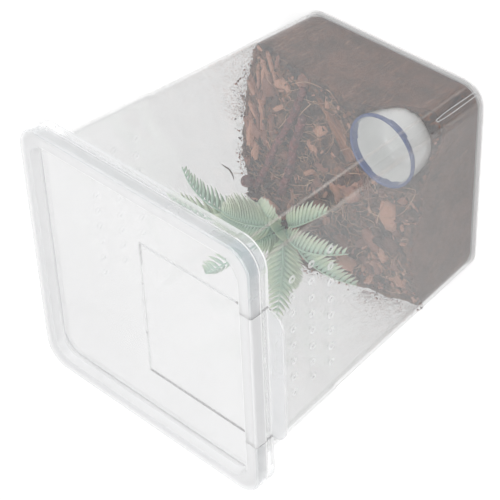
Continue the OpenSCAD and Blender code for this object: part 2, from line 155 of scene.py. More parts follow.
# Matt white paper, lifted to pure white where it is seen.
paper = added(bpy.ops.mesh.primitive_plane_add, "paper_sweep", size=8, location=(0, 0, -0.0005))
white_paper, tree = bare_material("white_paper")
path = add(tree, "LightPath")
direct = add(tree, "Math", operation="MAXIMUM",
             links={0: path.outputs["Is Camera Ray"], 1: path.outputs["Is Glossy Ray"]})
viewed = add(tree, "Math", operation="MAXIMUM", links={0: direct, 1: path.outputs["Is Transmission Ray"]})
matt = add(tree, "BsdfDiffuse", {"Color": linear("#f2f2f2")})
lift = add(tree, "Emission", {"Color": linear("#ffffff"), "Strength": 0.35})
lifted = add(tree, "AddShader", links={0: matt, 1: lift})
shown = add(tree, "MixShader", links={0: viewed, 1: matt, 2: lifted})
add(tree, "OutputMaterial", links={0: shown})
paper.data.materials.append(white_paper)

# ---- Tub ----------------------------------------------------------------------------
# The tall open box: clear polypropylene, injection moulded with drafted walls, round
# corners, one small step in the walls, a flanged rim that the lid presses over, and
# collared vents in two of its walls.
MM = 0.001
WALL = 1.8
WALL_TOP = 231
FOOT_HALF = 78.3
FOOT_R = 16.5
TOP_R = 12.5
DRAFT = 11.0
STEP_Z = 154
STEP = 0.8
VENT_COLUMNS = [(column - 3.5) * 13.4 for column in range(8)]
VENT_ROWS = [196.3 - row * 18.1 for row in range(3)]
COLLAR_R = 2.9
BORE_R = 1.2
SHARP_ANGLE = 32


def select_only(mesh, chosen):
    """In edit mode, selects the vertices that a test chooses, with what lies between them."""
    bm = bmesh.from_edit_mesh(mesh)
    bm.select_mode = {"VERT"}
    for part in (bm.faces, bm.edges, bm.verts):
        for p in part:
            p.select = False
    for v in bm.verts:
        v.select = chosen(v)
    bm.select_flush_mode()
    bmesh.update_edit_mesh(mesh)


def close_up():
    """In edit mode, turns all faces outwards, and leaves edit mode."""
    bpy.ops.mesh.select_all(action="SELECT")
    bpy.ops.mesh.normals_make_consistent(inside=False)
    bpy.ops.object.mode_set(mode="OBJECT")


def rounded_square(half, radius, height):
    """In edit mode, adds a loop of a rounded square, sizes in mm."""
    bpy.ops.mesh.primitive_plane_add(size=2 * half * MM, location=(0, 0, height * MM))
    bpy.ops.mesh.bevel(offset=radius * MM, segments=12, affect="VERTICES", profile=0.5)
    bpy.ops.mesh.delete(type="ONLY_FACE")


def loft(name, draw, rings):
    """A closed shell through loops that a function draws, each from its row of sizes."""
    shell = added(bpy.ops.mesh.primitive_plane_add, name, size=1)
    bpy.ops.object.mode_set(mode="EDIT")
    bpy.ops.mesh.select_mode(type="VERT")
    bpy.ops.mesh.delete(type="VERT")
    for ring in rings:
        draw(*ring)
    bm = bmesh.from_edit_mesh(shell.data)
    bm.verts.index_update()
    bm.verts.ensure_lookup_table()
    around = len(bm.verts) // len(rings)
    first = [[v.index for v in e.verts] for e in bm.edges if max(v.index for v in e.verts) < around]
    for k in range(len(rings) - 1):
        low = k * around
        for a, b in first:
            bm.faces.new([bm.verts[low + i] for i in (a, b, b + around, a + around)])
    bmesh.update_edit_mesh(shell.data)
    for k in (0, len(rings) - 1):
        select_only(shell.data, lambda v: k * around <= v.index < (k + 1) * around)
        bpy.ops.mesh.edge_face_add()
    close_up()
    return shell


def wall_half(z):
    """Outside half width of the wall at height z in mm, below and above its step."""
    return FOOT_HALF + DRAFT * z / WALL_TOP - (STEP if z < STEP_Z else 0) + STEP * (1 - z / WALL_TOP)


def wall_r(z):
    """Outside radius of the wall's corners at height z, in mm."""
    return FOOT_R - (FOOT_R - TOP_R) * z / WALL_TOP


def rounded(rings, half, radius, height, sweep, size):
    """Adds a quarter round to a profile, from a start to an end angle, with 0 outwards and 90 up."""
    for k in range(5):
        a = math.radians(sweep[0] + (sweep[1] - sweep[0]) * k / 4)
        rings.append((half + size * math.cos(a), radius + size * math.cos(a), height + size * math.sin(a)))


# Each ring is a half width, a corner radius and a height: up the outside and down the inside.
profile = [(70.0, 10.0, 0.8), (70.8, 10.8, 0.0)]
rounded(profile, 76.3, 14.5, 2.0, (-90, 0), 2.0)
profile += [(wall_half(z), wall_r(z), z) for z in (4, 60, 110, STEP_Z - 0.6, STEP_Z + 0.2, 190, 230.2)]
profile += [(89.9, 13.1, 231.0), (94.6, 12.6, 231.0), (95.2, 13.2, 231.6), (95.2, 13.2, 241.0),
            (96.1, 14.1, 241.0), (96.1, 14.1, 232.2), (96.4, 14.4, 232.0), (97.2, 15.2, 232.0),
            (97.5, 15.5, 232.3)]
rounded(profile, 96.7, 14.7, 241.6, (0, 90), 0.8)
rounded(profile, 94.5, 12.5, 241.7, (90, 180), 0.7)
profile += [(93.8, 11.8, 233.0), (93.2, 11.2, 232.4), (wall_half(231.6) - 1.2, wall_r(231), 232.4)]
profile += [(wall_half(z) - WALL, wall_r(z), z) for z in (231.6, 190, STEP_Z + 0.2, STEP_Z - 0.6, 110, 60, 6)]
rounded(profile, 74.7, 12.7, 4.2, (0, -90), 2.0)
tub = loft("tub_moulding", rounded_square, profile)


def on_wall(side, x, z):
    """Place on the outside of a side wall, with Z along the wall's outward normal."""
    lean = math.atan(DRAFT / WALL_TOP)
    turn = Matrix.Rotation(-side * (math.pi / 2 + lean), 4, "X")
    return Matrix.Translation((x * MM, side * wall_half(z) * MM, z * MM)) @ turn


def copy_of(piece):
    """A copy of an object, with its own mesh."""
    copy = piece.copy()
    copy.data = piece.data.copy()
    scene.collection.objects.link(copy)
    return copy


def pick(piece):
    """Selects one object alone and makes it the active one."""
    bpy.ops.object.select_all(action="DESELECT")
    piece.select_set(True)
    bpy.context.view_layer.objects.active = piece


def joined_copies(first, places, name):
    """One mesh of copies of an object at many places."""
    copies = [copy_of(first) for _ in places]
    bpy.data.objects.remove(first)
    pick(copies[0])
    for copy, place in zip(copies, places):
        copy.matrix_world = place
        copy.select_set(True)
    bpy.ops.object.join()
    joined = bpy.context.object
    joined.name = name
    bpy.ops.object.transform_apply(location=True, rotation=True, scale=True)
    return joined


def cut(target, tool, operation):
    """Applies a boolean with a tool, which is then gone."""
    pick(target)
    step = target.modifiers.new("cut", "BOOLEAN")
    step.object = tool
    step.operation = operation
    step.solver = "EXACT"
    bpy.ops.object.modifier_apply(modifier="cut")
    bpy.data.objects.remove(tool)


def finish_shell(piece):
    """Smooth shading that keeps sharp edges, with flat faces kept flat."""
    pick(piece)
    bpy.ops.object.shade_smooth_by_angle(angle=math.radians(SHARP_ANGLE))
    even = piece.modifiers.new("even", "WEIGHTED_NORMAL")
    even.keep_sharp = True
    even.weight = 100
    bpy.ops.object.modifier_apply(modifier="even")


vent_places = [on_wall(side, x, z) for side in (-1, 1) for z in VENT_ROWS for x in VENT_COLUMNS]
collar = added(bpy.ops.mesh.primitive_cylinder_add, vertices=24, radius=COLLAR_R * MM, depth=1.4 * MM,
               location=(0, 0, -0.2 * MM))
bpy.ops.object.transform_apply(location=True)
bpy.ops.object.mode_set(mode="EDIT")
bpy.ops.mesh.select_mode(type="VERT")
select_only(collar.data, lambda v: v.co.z > 0)
bpy.ops.mesh.bevel(offset=0.4 * MM, segments=3, affect="EDGES")
bpy.ops.object.mode_set(mode="OBJECT")
cut(tub, joined_copies(collar, vent_places, "collars"), "UNION")
drill = added(bpy.ops.mesh.primitive_cylinder_add, vertices=20, radius=BORE_R * MM, depth=8 * MM)
cut(tub, joined_copies(drill, vent_places, "drills"), "DIFFERENCE")
finish_shell(tub)


def clear_plastic(name, haze, body_colour, bloom, roughness, polish=1.0, fade=""):
    """Clarified polypropylene, moulded: see-through, with a milky part that thickens in clouds.

    The eye sees a faint milkiness, and a soft shine that grows at grazing angles. A pattern's
    scale is its cells per mm over MM, so the clouds are 45 mm across and the ripples 22 mm.
    """
    material, tree = bare_material(name)
    at = add(tree, "TexCoord").outputs["Object"]
    cloud = add(tree, "TexNoise", {"Scale": 0.022 / MM, "Detail": 2.0}, {"Vector": at})
    milk = add(tree, "MapRange", {1: 0.3, 2: 0.7, 3: haze * (1 - bloom), 4: haze * (1 + bloom)}, {0: cloud})
    ripple = add(tree, "TexNoise", {"Scale": 0.045 / MM, "Detail": 1.0}, {"Vector": at})
    bump = add(tree, "Bump", {"Strength": 0.06, "Distance": 0.6 * MM}, {"Height": ripple})
    side = add(tree, "NewGeometry")
    index = add(tree, "MapRange", {3: 1.49, 4: 1 / 1.49}, {0: side.outputs["Backfacing"]})
    gloss = add(tree, "Fresnel", links={"IOR": index, "Normal": bump})
    mirror = add(tree, "Math", {1: polish}, {0: gloss}, operation="MULTIPLY")
    through = add(tree, "BsdfTransparent", {"Color": (1, 1, 1, 1)})
    milky = add(tree, "BsdfDiffuse", {"Color": linear(body_colour)})
    shine = add(tree, "BsdfGlossy", {"Color": (1, 1, 1, 1), "Roughness": roughness}, {"Normal": bump})
    path = add(tree, "LightPath")
    lets_light_in = add(tree, "MapRange", {3: 1.0, 4: 0.25}, {0: path.outputs["Is Shadow Ray"]})
    veil = add(tree, "Math", links={0: milk, 1: lets_light_in}, operation="MULTIPLY")
    if fade:
        mark = add(tree, "Attribute", attribute_name=fade)
        veil = add(tree, "Math", links={0: veil, 1: mark.outputs["Fac"]}, operation="MULTIPLY")
    body = add(tree, "MixShader", links={0: veil, 1: through, 2: milky})
    both = add(tree, "MixShader", links={0: mirror, 1: body, 2: shine})
    add(tree, "OutputMaterial", links={0: both})
    return material


# The walls are clearest. Edges and collars are painted nearly white as painted highlights, and those
# that are seen through the whole tub are painted fainter. The bores and the wall at -Y are painted
# greyer, as painted shade.
clear_wall = clear_plastic("clarified_polypropylene_wall", 0.136, "#88898b", 0.05, 0.08)
front_wall_shade = clear_plastic("clarified_polypropylene_wall_painted_shade", 0.18, "#959596", 0.05, 0.08)
loop_highlight = clear_plastic("polypropylene_edge_painted_highlight", 0.42, "#f4f5f6", 0.1, 0.2)
bright_foot = clear_plastic("polypropylene_foot_painted_highlight", 0.6, "#ffffff", 0.1, 0.2)
vent_collar = clear_plastic("polypropylene_vent_collar_highlight", 0.6, "#f0f0f0", 0.05, 0.2)
vent_bore = clear_plastic("polypropylene_vent_bore_shade", 0.3, "#c6c7c9", 0.05, 0.2, 0.4)
far_collar = clear_plastic("polypropylene_far_vent_collar_highlight", 0.19, "#fbfbfb", 0.05, 0.3, 0.3)
far_bore = clear_plastic("polypropylene_far_vent_bore_shade", 0.17, "#a0a1a3", 0.05, 0.3, 0.25)


def coat(piece, materials, choose=None):
    """Gives a piece its materials, and each face the one that a rule chooses, or else the first."""
    piece.data.materials.clear()
    for material in materials:
        piece.data.materials.append(material)
    for face in piece.data.polygons:
        face.material_index = materials.index(choose(face)) if choose else 0


vents = [place.translation / MM for place in vent_places]


def tub_finish(face):
    """The foot's edges and the vents' collars are painted light as painted highlights, less so on the back
    wall; the bores and the -Y wall are painted greyer as painted shade.
    """
    x, y, z = centre = face.center / MM
    if 155 < z < 200 and abs(y) > 70:
        vent = min(vents, key=lambda at: (at - centre).length)
        near = (vent - centre).length < COLLAR_R + 0.3
        if near and abs(face.normal.y) < 0.9 and math.hypot(x - vent.x, z - vent.z) < BORE_R + 0.1:
            return far_bore if y > 0 else vent_bore
        if near and (abs(face.normal.y) < 0.9 or abs(y) > wall_half(z) + 0.2):
            return far_collar if y > 0 else vent_collar
    if z < 2.2 and max(abs(x), abs(y)) > 76 and abs(face.normal.z) < 0.98:
        return bright_foot
    return front_wall_shade if -y > abs(x) else clear_wall


coat(tub, [clear_wall, bright_foot, vent_collar, vent_bore, far_collar, far_bore, front_wall_shade], tub_finish)
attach(tub, "tub")
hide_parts("tub")

# Two soft light lines from the foot to the rim at the corners, where each corner starts to turn, are
# painted highlights: thin strips of pale plastic just inside the corner's outer face.
LINE_LOW_Z = 4.0
LINE_HIGH_Z = 225.0


def thicken(offset):
    """Extrudes the active sheet by an offset, into a closed solid."""
    bpy.ops.object.mode_set(mode="EDIT")
    bpy.ops.mesh.select_all(action="SELECT")
    bpy.ops.mesh.extrude_region_move(TRANSFORM_OT_translate={"value": offset})
    close_up()


line = added(bpy.ops.mesh.primitive_grid_add, x_subdivisions=10, y_subdivisions=12, size=1 * MM)
line.data.transform(Matrix(((0, 0, 1), (1, 0, 0), (0, 1, 0))).to_4x4())
thicken((0.16 * MM, 0, 0))
# The painted highlight is strongest along the strip's middle and fades towards the foot.
strength = line.data.attributes.new("strength", "FLOAT", "POINT")
upward = [min(1, max(0.35, 0.35 + (v.co.z / MM + 0.03) * 5)) for v in line.data.vertices]
strength.data.foreach_set("value", [u * (0.5 + 0.5 * math.cos(2 * math.pi * v.co.y / MM))
                                    for u, v in zip(upward, line.data.vertices)])


def corner_line(quarter, angle_low, angle_high, width):
    """Place that stretches a 1 mm strip from the foot to the rim, just inside a corner's outer face."""
    ends = []
    for z, angle in ((LINE_LOW_Z, angle_low), (LINE_HIGH_Z, angle_high)):
        a = math.radians(angle)
        centre = wall_half(z) - wall_r(z)
        r = wall_r(z) - 0.5
        ends.append(Vector((centre + r * math.cos(a), centre + r * math.sin(a), z)))
    run = ends[1] - ends[0]
    a = math.radians((angle_low + angle_high) / 2)
    out = Vector((math.cos(a), math.sin(a), 0))
    along = run.normalized()
    out = (out - out.dot(along) * along).normalized()
    side = along.cross(out)
    lean = Matrix((out, side, along)).transposed().to_4x4()
    middle = Matrix.Translation((ends[0] + ends[1]) / 2 * MM)
    stretch = Matrix.Diagonal((1, width, run.length, 1))
    return Matrix.Rotation(math.radians(90 * quarter), 4, "Z") @ middle @ lean @ stretch


line_places = [corner_line(quarter, low, high, width)
               for quarter in (0, 2, 3) for low, high, width in ((20, 8, 5.5), (70, 82, 3.5))]
corner_lines = joined_copies(line, line_places, "tub_corner_painted_highlights")
# The near corner's painted highlight is stronger than the other corners'.
near_corner_highlight = clear_plastic("polypropylene_corner_painted_highlight", 0.25, "#ebe1da", 0.6, 0.2, 0.0, "strength")
far_corner_highlight = clear_plastic("polypropylene_far_corner_painted_highlight", 0.08, "#d8d8d8", 0.5, 0.2, 0.0, "strength")
coat(corner_lines, [near_corner_highlight, far_corner_highlight],
     lambda face: near_corner_highlight if face.center.x > 0 > face.center.y else far_corner_highlight)
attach(corner_lines, "tub")

# Where the corner thickens into the foot, a narrow loop of pale plastic is a painted highlight.
loop = added(bpy.ops.curve.primitive_bezier_curve_add, "foot_corner_highlight_loop")
loop.data.bevel_depth = 0.28 * MM
loop.data.bevel_resolution = 2
points = loop.data.splines[0].bezier_points
points.add(3)
for point, (z, angle) in zip(points, ((4, -49.5), (43, -48.5), (46.5, -45), (43, -41.5), (4, -40.5))):
    r = wall_r(z) - 0.2
    centre = wall_half(z) - wall_r(z)
    a = math.radians(angle)
    point.co = Vector((centre + r * math.cos(a), -centre + r * math.sin(a), z)) * MM
    point.handle_left_type = point.handle_right_type = "AUTO"
bpy.ops.object.convert(target="MESH")
coat(loop, [loop_highlight])
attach(loop, "tub")

# ---- Lid ----------------------------------------------------------------------------
# The press-on lid: milky polypropylene with a raised rim round a sunken panel, and a
# skirt with snap beads inside. It and the flap are one moulding, parted by a slit.
LID_FLAT = 82
FLAP_HALF = 53.0
SLIT = 0.2
WEB_Z = 238.4
GRIP = (105.6, 13.5, 1.8)

top = [(86.2, 11.2, 238.6), (87.2, 12.2, 238.75), (87.9, 12.9, 239.3), (89.5, 14.5, 243.2)]
rounded(top, 90.6, 15.6, 243.2, (160, 90), 0.8)
rounded(top, 98.4, 16.4, 242.4, (90, 0), 1.6)
top += [(100.0, 18.0, 236.0), (100.0, 18.0, 235.1), (100.0, 18.0, 229.2)]
rounded(top, 99.6, 17.6, 228.8, (0, -90), 0.4)
top += [(98.6, 16.6, 228.4), (98.4, 16.4, 228.6), (98.4, 16.4, 241.9), (98.0, 16.0, 242.4),
        (91.4, 16.4, 242.4), (90.9, 15.9, 242.1), (88.4, 13.4, 237.4), (87.9, 12.9, 237.0)]


def block(name, low, high):
    """A box between two corners in mm, for cutting with."""
    middle = [(a + b) / 2 * MM for a, b in zip(low, high)]
    made = added(bpy.ops.mesh.primitive_cube_add, name, size=1, location=middle)
    made.scale = [(b - a) * MM for a, b in zip(low, high)]
    bpy.ops.object.transform_apply(location=True, rotation=True, scale=True)
    return made


lid = loft("lid_moulding", rounded_square, top)
flap = copy_of(lid)
flap.name = "feeding_flap"
wide, narrow = FLAP_HALF + SLIT, FLAP_HALF - SLIT
cut(lid, block("flap_gap", (-wide, -140, 228), (wide, 0.6, 245)), "DIFFERENCE")
cut(flap, block("flap_part", (-narrow, -140, 228), (narrow, -0.6, 245)), "INTERSECT")

# Snap beads inside the three whole sides of the skirt, and the flap's own.
ridge = added(bpy.ops.mesh.primitive_cylinder_add, vertices=16, radius=1.0 * MM, depth=1 * MM,
              rotation=(0, math.pi / 2, 0))
bpy.ops.object.transform_apply(rotation=True)


def bead_place(turn, length, shift=0.0):
    """Place of a bead on the inside of the skirt that faces -Y once turned."""
    at = Matrix.Translation((shift * MM, -98.65 * MM, 229.7 * MM)) @ Matrix.Diagonal((length, 1, 1, 1))
    return Matrix.Rotation(math.radians(turn), 4, "Z") @ at


flap_ridge = copy_of(ridge)
lid_beads = [bead_place(90, 158), bead_place(180, 158), bead_place(270, 158),
             bead_place(0, 25, 66.0), bead_place(0, 25, -66.0)]
cut(lid, joined_copies(ridge, lid_beads, "lid_beads"), "UNION")
cut(flap, joined_copies(flap_ridge, [bead_place(0, 105)], "flap_bead"), "UNION")

# The flap's grip: a thin tongue with round corners, level with the skirt's lower edge.
grip = added(bpy.ops.mesh.primitive_plane_add, size=1, location=(0, 0, 228.4 * MM))
grip.scale = (GRIP[0] * MM, GRIP[1] * MM, 1)
grip.location.y = -(98.5 + GRIP[1] / 2) * MM
bpy.ops.object.transform_apply(location=True, scale=True)
bpy.ops.object.mode_set(mode="EDIT")
select_only(grip.data, lambda v: v.co.y < -0.105)
bpy.ops.mesh.bevel(offset=11 * MM, segments=10, affect="VERTICES", profile=0.5)
bpy.ops.object.mode_set(mode="OBJECT")
thicken((0, 0, GRIP[2] * MM))
bpy.ops.object.mode_set(mode="EDIT")
select_only(grip.data, lambda v: v.co.y < -0.1001)
bpy.ops.mesh.bevel(offset=0.5 * MM, segments=3, affect="EDGES")
bpy.ops.object.mode_set(mode="OBJECT")
cut(flap, grip, "UNION")

# The slits' ends, which lie in the moulding's shade, are parted off so that they can be painted darker, as
# painted shade.
SHADE_Y = 82
SHADE_X = 36
for piece in (lid, flap):
    pick(piece)
    bpy.ops.object.mode_set(mode="EDIT")
    for at, across in (((0, -SHADE_Y * MM, 0), (0, 1, 0)), ((SHADE_X * MM, 0, 0), (1, 0, 0))):
        bpy.ops.mesh.select_all(action="SELECT")
        bpy.ops.mesh.bisect(plane_co=at, plane_no=across)
    bpy.ops.object.mode_set(mode="OBJECT")
    finish_shell(piece)

# The lid's polypropylene is left milky: the panel is thin and clear, the rim's folds are thick and
# pale, a few of them painted nearly white as painted highlights, and the slit's seams look grey. A few
# copies are painted paler or darker, as painted light and shade.
milky_panel = clear_plastic("milky_polypropylene_panel", 0.14, "#ececee", 0.05, 0.12)
fold_edge_highlight = clear_plastic("polypropylene_fold_painted_highlight", 0.8, "#ffffff", 0.05, 0.2)
milky_rim = clear_plastic("milky_polypropylene_rim", 0.5, "#eeeeef", 0.05, 0.14)
milky_skirt = clear_plastic("milky_polypropylene_skirt", 0.14, "#d9dcde", 0.2, 0.14)
milky_shoulder = clear_plastic("milky_polypropylene_shoulder", 0.32, "#eef0f2", 0.12, 0.14)
far_fold = clear_plastic("milky_polypropylene_far_fold_painted_light", 0.35, "#f5f5f6", 0.05, 0.3, 0.25)
milky_grip = clear_plastic("milky_polypropylene_grip", 0.3, "#e0e1e3", 0.05, 0.3, 0.25)
flap_shoulder = clear_plastic("milky_polypropylene_flap_shoulder_painted_light", 0.75, "#eeeeef", 0.05, 0.14)
side_fold_highlight = clear_plastic("polypropylene_side_fold_painted_highlight", 0.6, "#eff0f1", 0.05, 0.2, 0.5)
seam_shade = clear_plastic("polypropylene_seam_and_fold_shade", 0.2, "#d2d3d4", 0.3, 0.3, 0.25)
seam_end_shade = clear_plastic("polypropylene_slit_end_painted_shade", 0.36, "#7c7a7a", 0.1, 0.3, 0.25)

# The shoulder grows duskier towards its corner at +X and -Y, over 10 to 45 mm.
tree = milky_shoulder.node_tree
at = add(tree, "TexCoord").outputs["Object"]
gap = add(tree, "VectorMath", {1: (100 * MM, -100 * MM, 240 * MM)}, {0: at}, operation="DISTANCE")
away = add(tree, "MapRange", {1: 10 * MM, 2: 45 * MM}, {0: gap.outputs["Value"]},
           interpolation_type="SMOOTHSTEP")
dusky = add(tree, "Mix", {6: linear("#cad5da"), 7: linear("#eef0f2")}, {0: away}, data_type="RGBA")
milk = next(node for node in tree.nodes if node.type == "BSDF_DIFFUSE")
tree.links.new(dusky.outputs[2], milk.inputs["Color"])


def lid_finish(face):
    """The panel is clearest, folds are milky or painted bright as painted highlights by how they turn, and
    the seams look dark, their ends with painted shade.
    """
    centre, normal = face.center / MM, face.normal
    x, y, z = abs(centre.x), abs(centre.y), centre.z
    # Half width of the rounded square that the face lies on.
    out = LID_FLAT + math.hypot(max(x - LID_FLAT, 0), max(y - LID_FLAT, 0))
    front = centre.y < 0
    seam = abs(x - FLAP_HALF) < 0.35 and front and abs(normal.x) > 0.9
    slit = y < 0.7 and x < 53.3 and abs(normal.y) > 0.9
    # The seams' far ends, the seam on the -X side and one face of the slit's +X end are painted dark, as
    # painted shade.
    if seam and (y > SHADE_Y or centre.x < 0) or slit and normal.y > 0 and centre.x > SHADE_X:
        return seam_end_shade
    if seam or slit:
        return seam_shade
    if out < 86.8 and 236.5 < z < 239:
        return milky_panel
    if out > 100.3:
        return milky_grip if abs(normal.z) > 0.9 else milky_rim
    # Folds on the far sides are painted paler, with less shine, as painted light.
    if out < 90.7 and (centre.x < -80 or centre.y > 80):
        return far_fold
    # The crest's inner face takes the seams' grey, as a painted shade line.
    if out < 89.75 and z > 243.1:
        return seam_shade
    # Fold edges are painted nearly white as painted highlights, dimmer on the +X side.
    if (out < 90.7 and z > 243.1) or (out > 99.5 and 235.0 < z < 236.05) or (out > 98 and z < 228.95):
        return side_fold_highlight if centre.x > 98 and y < 83 else fold_edge_highlight
    if out > 98.2 and z < 235.2:
        return milky_skirt
    # The flap's shoulder is painted paler than the rest of the shoulder, as painted light.
    if out > 98.2:
        return flap_shoulder if y > 98 and front and x < FLAP_HALF else milky_shoulder
    return milky_rim


for piece, body in ((lid, "lid"), (flap, "flap")):
    coat(piece, [milky_panel, milky_rim, fold_edge_highlight, milky_skirt, seam_shade, seam_end_shade, milky_shoulder,
                 far_fold, milky_grip, side_fold_highlight, flap_shoulder], lid_finish)
    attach(piece, body)
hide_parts("lid")
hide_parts("feed_flap")

# The living hinge: a web moulded with the lid and the flap, thinnest along its middle.
web = added(bpy.ops.mesh.primitive_grid_add, "hinge_web", x_subdivisions=12, y_subdivisions=9, size=1,
            location=(0, 0, WEB_Z * MM))
web.scale = (42 * MM, 1.2 * MM, 1)
bpy.ops.object.transform_apply(location=True, scale=True)
thicken((0, 0, 0.2 * MM))
for v in web.data.vertices:
    waist = 1 - 0.45 * math.exp(-(v.co.y / (0.25 * MM)) ** 2)
    sag = 0.0 if v.co.z > (WEB_Z + 0.1) * MM else 0.2 * MM * waist
    v.co.z = WEB_Z * MM + (v.co.z - WEB_Z * MM) * waist - sag
bpy.ops.object.shade_smooth()
coat(web, [milky_rim])
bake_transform(web)
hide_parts("hinge_film")

# ---- Substrate ----------------------------------------------------------------------
# Loose bedding of damp coir and crushed bark. It is pressed flat where it meets the
# clear walls, and lumpy and open on top, with a hollow that the water dish stands in.
BED_Z = 63
BED_HALF = wall_half(BED_Z) - WALL
DISH_R = 27
DISH_X = wall_half(70) - WALL - DISH_R - 1.2
DISH = Vector((DISH_X, 2.4 - DISH_X))
# Each mound is its place across and along, its height and its spread, as shares of the bed.
MOUNDS = [(-0.38, -1.00, 0.16, 0.28), (-1.00, 0.20, 0.19, 0.32), (1.00, -0.30, 0.13, 0.20),
          (0.95, 1.00, -0.14, 0.33), (-1.00, -0.95, -0.13, 0.25), (0.90, -0.92, -0.27, 0.24),
          (0.00, 1.00, 0.08, 0.33)]
SIDE_HEIGHTS = (0.75, 0.5, 0.25, 0.04)
FLOOR_Z = 4.4
UNDERSIDE_Z = 2.45


def soil_z(x, y):
    """Mean height of the bedding in mm."""
    z = BED_Z + 1.2 * math.sin(math.radians(360 * x / 54)) * math.cos(math.radians(360 * y / 54))
    for across, along, height, spread in MOUNDS:
        off = (x / BED_HALF - across) ** 2 + (y / BED_HALF - along) ** 2
        z += height * BED_Z * math.exp(-off / (2 * spread * spread))
    return z


def lumpy_z(x, y):
    """Height of the bedding with its clods and crumbs, and the dish's hollow."""
    clod = noise.noise(Vector((x / 11, y / 11, 3.1)))
    crumb = noise.noise(Vector((x / 4.2, y / 4.2, 7.7)))
    grit = noise.noise(Vector((x / 1.7, y / 1.7, 1.3)))
    z = soil_z(x, y) + 2.6 * clod + 4.4 * crumb * abs(crumb) + 0.9 * grit - 0.6
    away = (Vector((x, y)) - DISH).length
    low_side = max(0, (x - DISH.x - y + DISH.y) / 1.414 / max(away, 1))
    if away < 38:
        z -= 7 * low_side * min(1, (38 - away) / 6)
    if away < 28.2:
        z = min(z, 42.6 + (0 if away < 22.7 else 23.5 * min(1, (away - 22.7) / 4.4)))
    return z


def to_round_square(u, v, half, radius):
    """Maps a point of the square from -1 to 1 into a rounded square."""
    place = []
    flat = half - radius
    a, b = (max(0, (abs(w) * half - flat) / radius) for w in (u, v))
    if a > 0 and b > 0:
        a, b = a * math.sqrt(1 - b * b / 2), b * math.sqrt(1 - a * a / 2)
    for w, c in ((u, a), (v, b)):
        place.append(math.copysign(flat + radius * c if c > 0 else abs(w) * half, w))
    return place


# A fine sheet, whose edge is extruded once for each level down the walls and once below.
soil = added(bpy.ops.mesh.primitive_grid_add, "substrate_bed", x_subdivisions=168, y_subdivisions=168,
             size=2)
bpy.ops.object.mode_set(mode="EDIT")
bpy.ops.mesh.select_mode(type="VERT")
select_only(soil.data, lambda v: max(abs(v.co.x), abs(v.co.y)) > 0.9999)
for _ in range(len(SIDE_HEIGHTS) + 1):
    bpy.ops.mesh.extrude_edges_move(TRANSFORM_OT_translate={"value": (0, 0, -1)})
bpy.ops.mesh.edge_face_add()
bpy.ops.object.mode_set(mode="OBJECT")
for v in soil.data.vertices:
    level = round(-v.co.z)
    x, y = to_round_square(v.co.x, v.co.y, BED_HALF, 15)
    z = lumpy_z(x, y)
    draw_in = 0.25
    if level > len(SIDE_HEIGHTS):
        z = UNDERSIDE_Z
        draw_in = 2.0
    elif level > 0:
        z = FLOOR_Z + (z - FLOOR_Z) * SIDE_HEIGHTS[level - 1]
    elif max(abs(v.co.x), abs(v.co.y)) <= 0.999:
        draw_in += 0.05
    half = wall_half(min(z, 150)) - WALL - draw_in
    x, y = to_round_square(v.co.x, v.co.y, half, wall_r(z) - draw_in)
    v.co = (x * MM, y * MM, z * MM)
bpy.ops.object.mode_set(mode="EDIT")
close_up()
bpy.ops.object.shade_smooth_by_angle(angle=math.radians(60))

pressed = []
for v in soil.data.vertices:
    from_wall = wall_half(min(v.co.z / MM, 150)) - WALL - max(abs(v.co.x), abs(v.co.y)) / MM
    ragged = 2.2 + 2.6 * noise.noise(v.co / MM / 6)
    pressed.append(max(0.0, min(1.0, (ragged - from_wall) / 1.6 + 0.5)))
soil.data.attributes.new("pressed", "FLOAT", "POINT").data.foreach_set("value", pressed)

# Damp coir with crushed bark in it: dull, and dark between clods 11 mm across. Its crumbs
# are 2.4 mm across and its grit 1.1 mm.
damp_coir, tree = bare_material("damp_coir_and_crushed_bark")
at = add(tree, "TexCoord").outputs["Object"]
clods = add(tree, "TexNoise", {"Scale": 0.09 / MM, "Detail": 5.0, "Roughness": 0.62}, {"Vector": at})
crumbs = add(tree, "TexVoronoi", {"Scale": 0.42 / MM, "Randomness": 1.0}, {"Vector": at})
grit = add(tree, "TexNoise", {"Scale": 0.9 / MM, "Detail": 3.0, "Roughness": 0.7}, {"Vector": at})
earth = add(tree, "ValToRGB", links={0: clods},
            stops=((0.36, "#30262a"), (0.5, "#5f453a"), (0.64, "#97715c")))
flecks = add(tree, "ValToRGB", links={0: grit}, stops=((0.35, "#5a5350"), (0.66, "#ffffff")))
grained = add(tree, "Mix", {0: 0.75}, {6: earth, 7: flecks}, data_type="RGBA", blend_type="MULTIPLY")
chips = add(tree, "MapRange", {1: 0.78, 2: 0.9, 3: 0.0, 4: 0.8}, {0: crumbs.outputs["Color"]})
loose = add(tree, "Mix", {7: linear("#9c6544")}, {0: chips, 6: grained.outputs[2]}, data_type="RGBA")

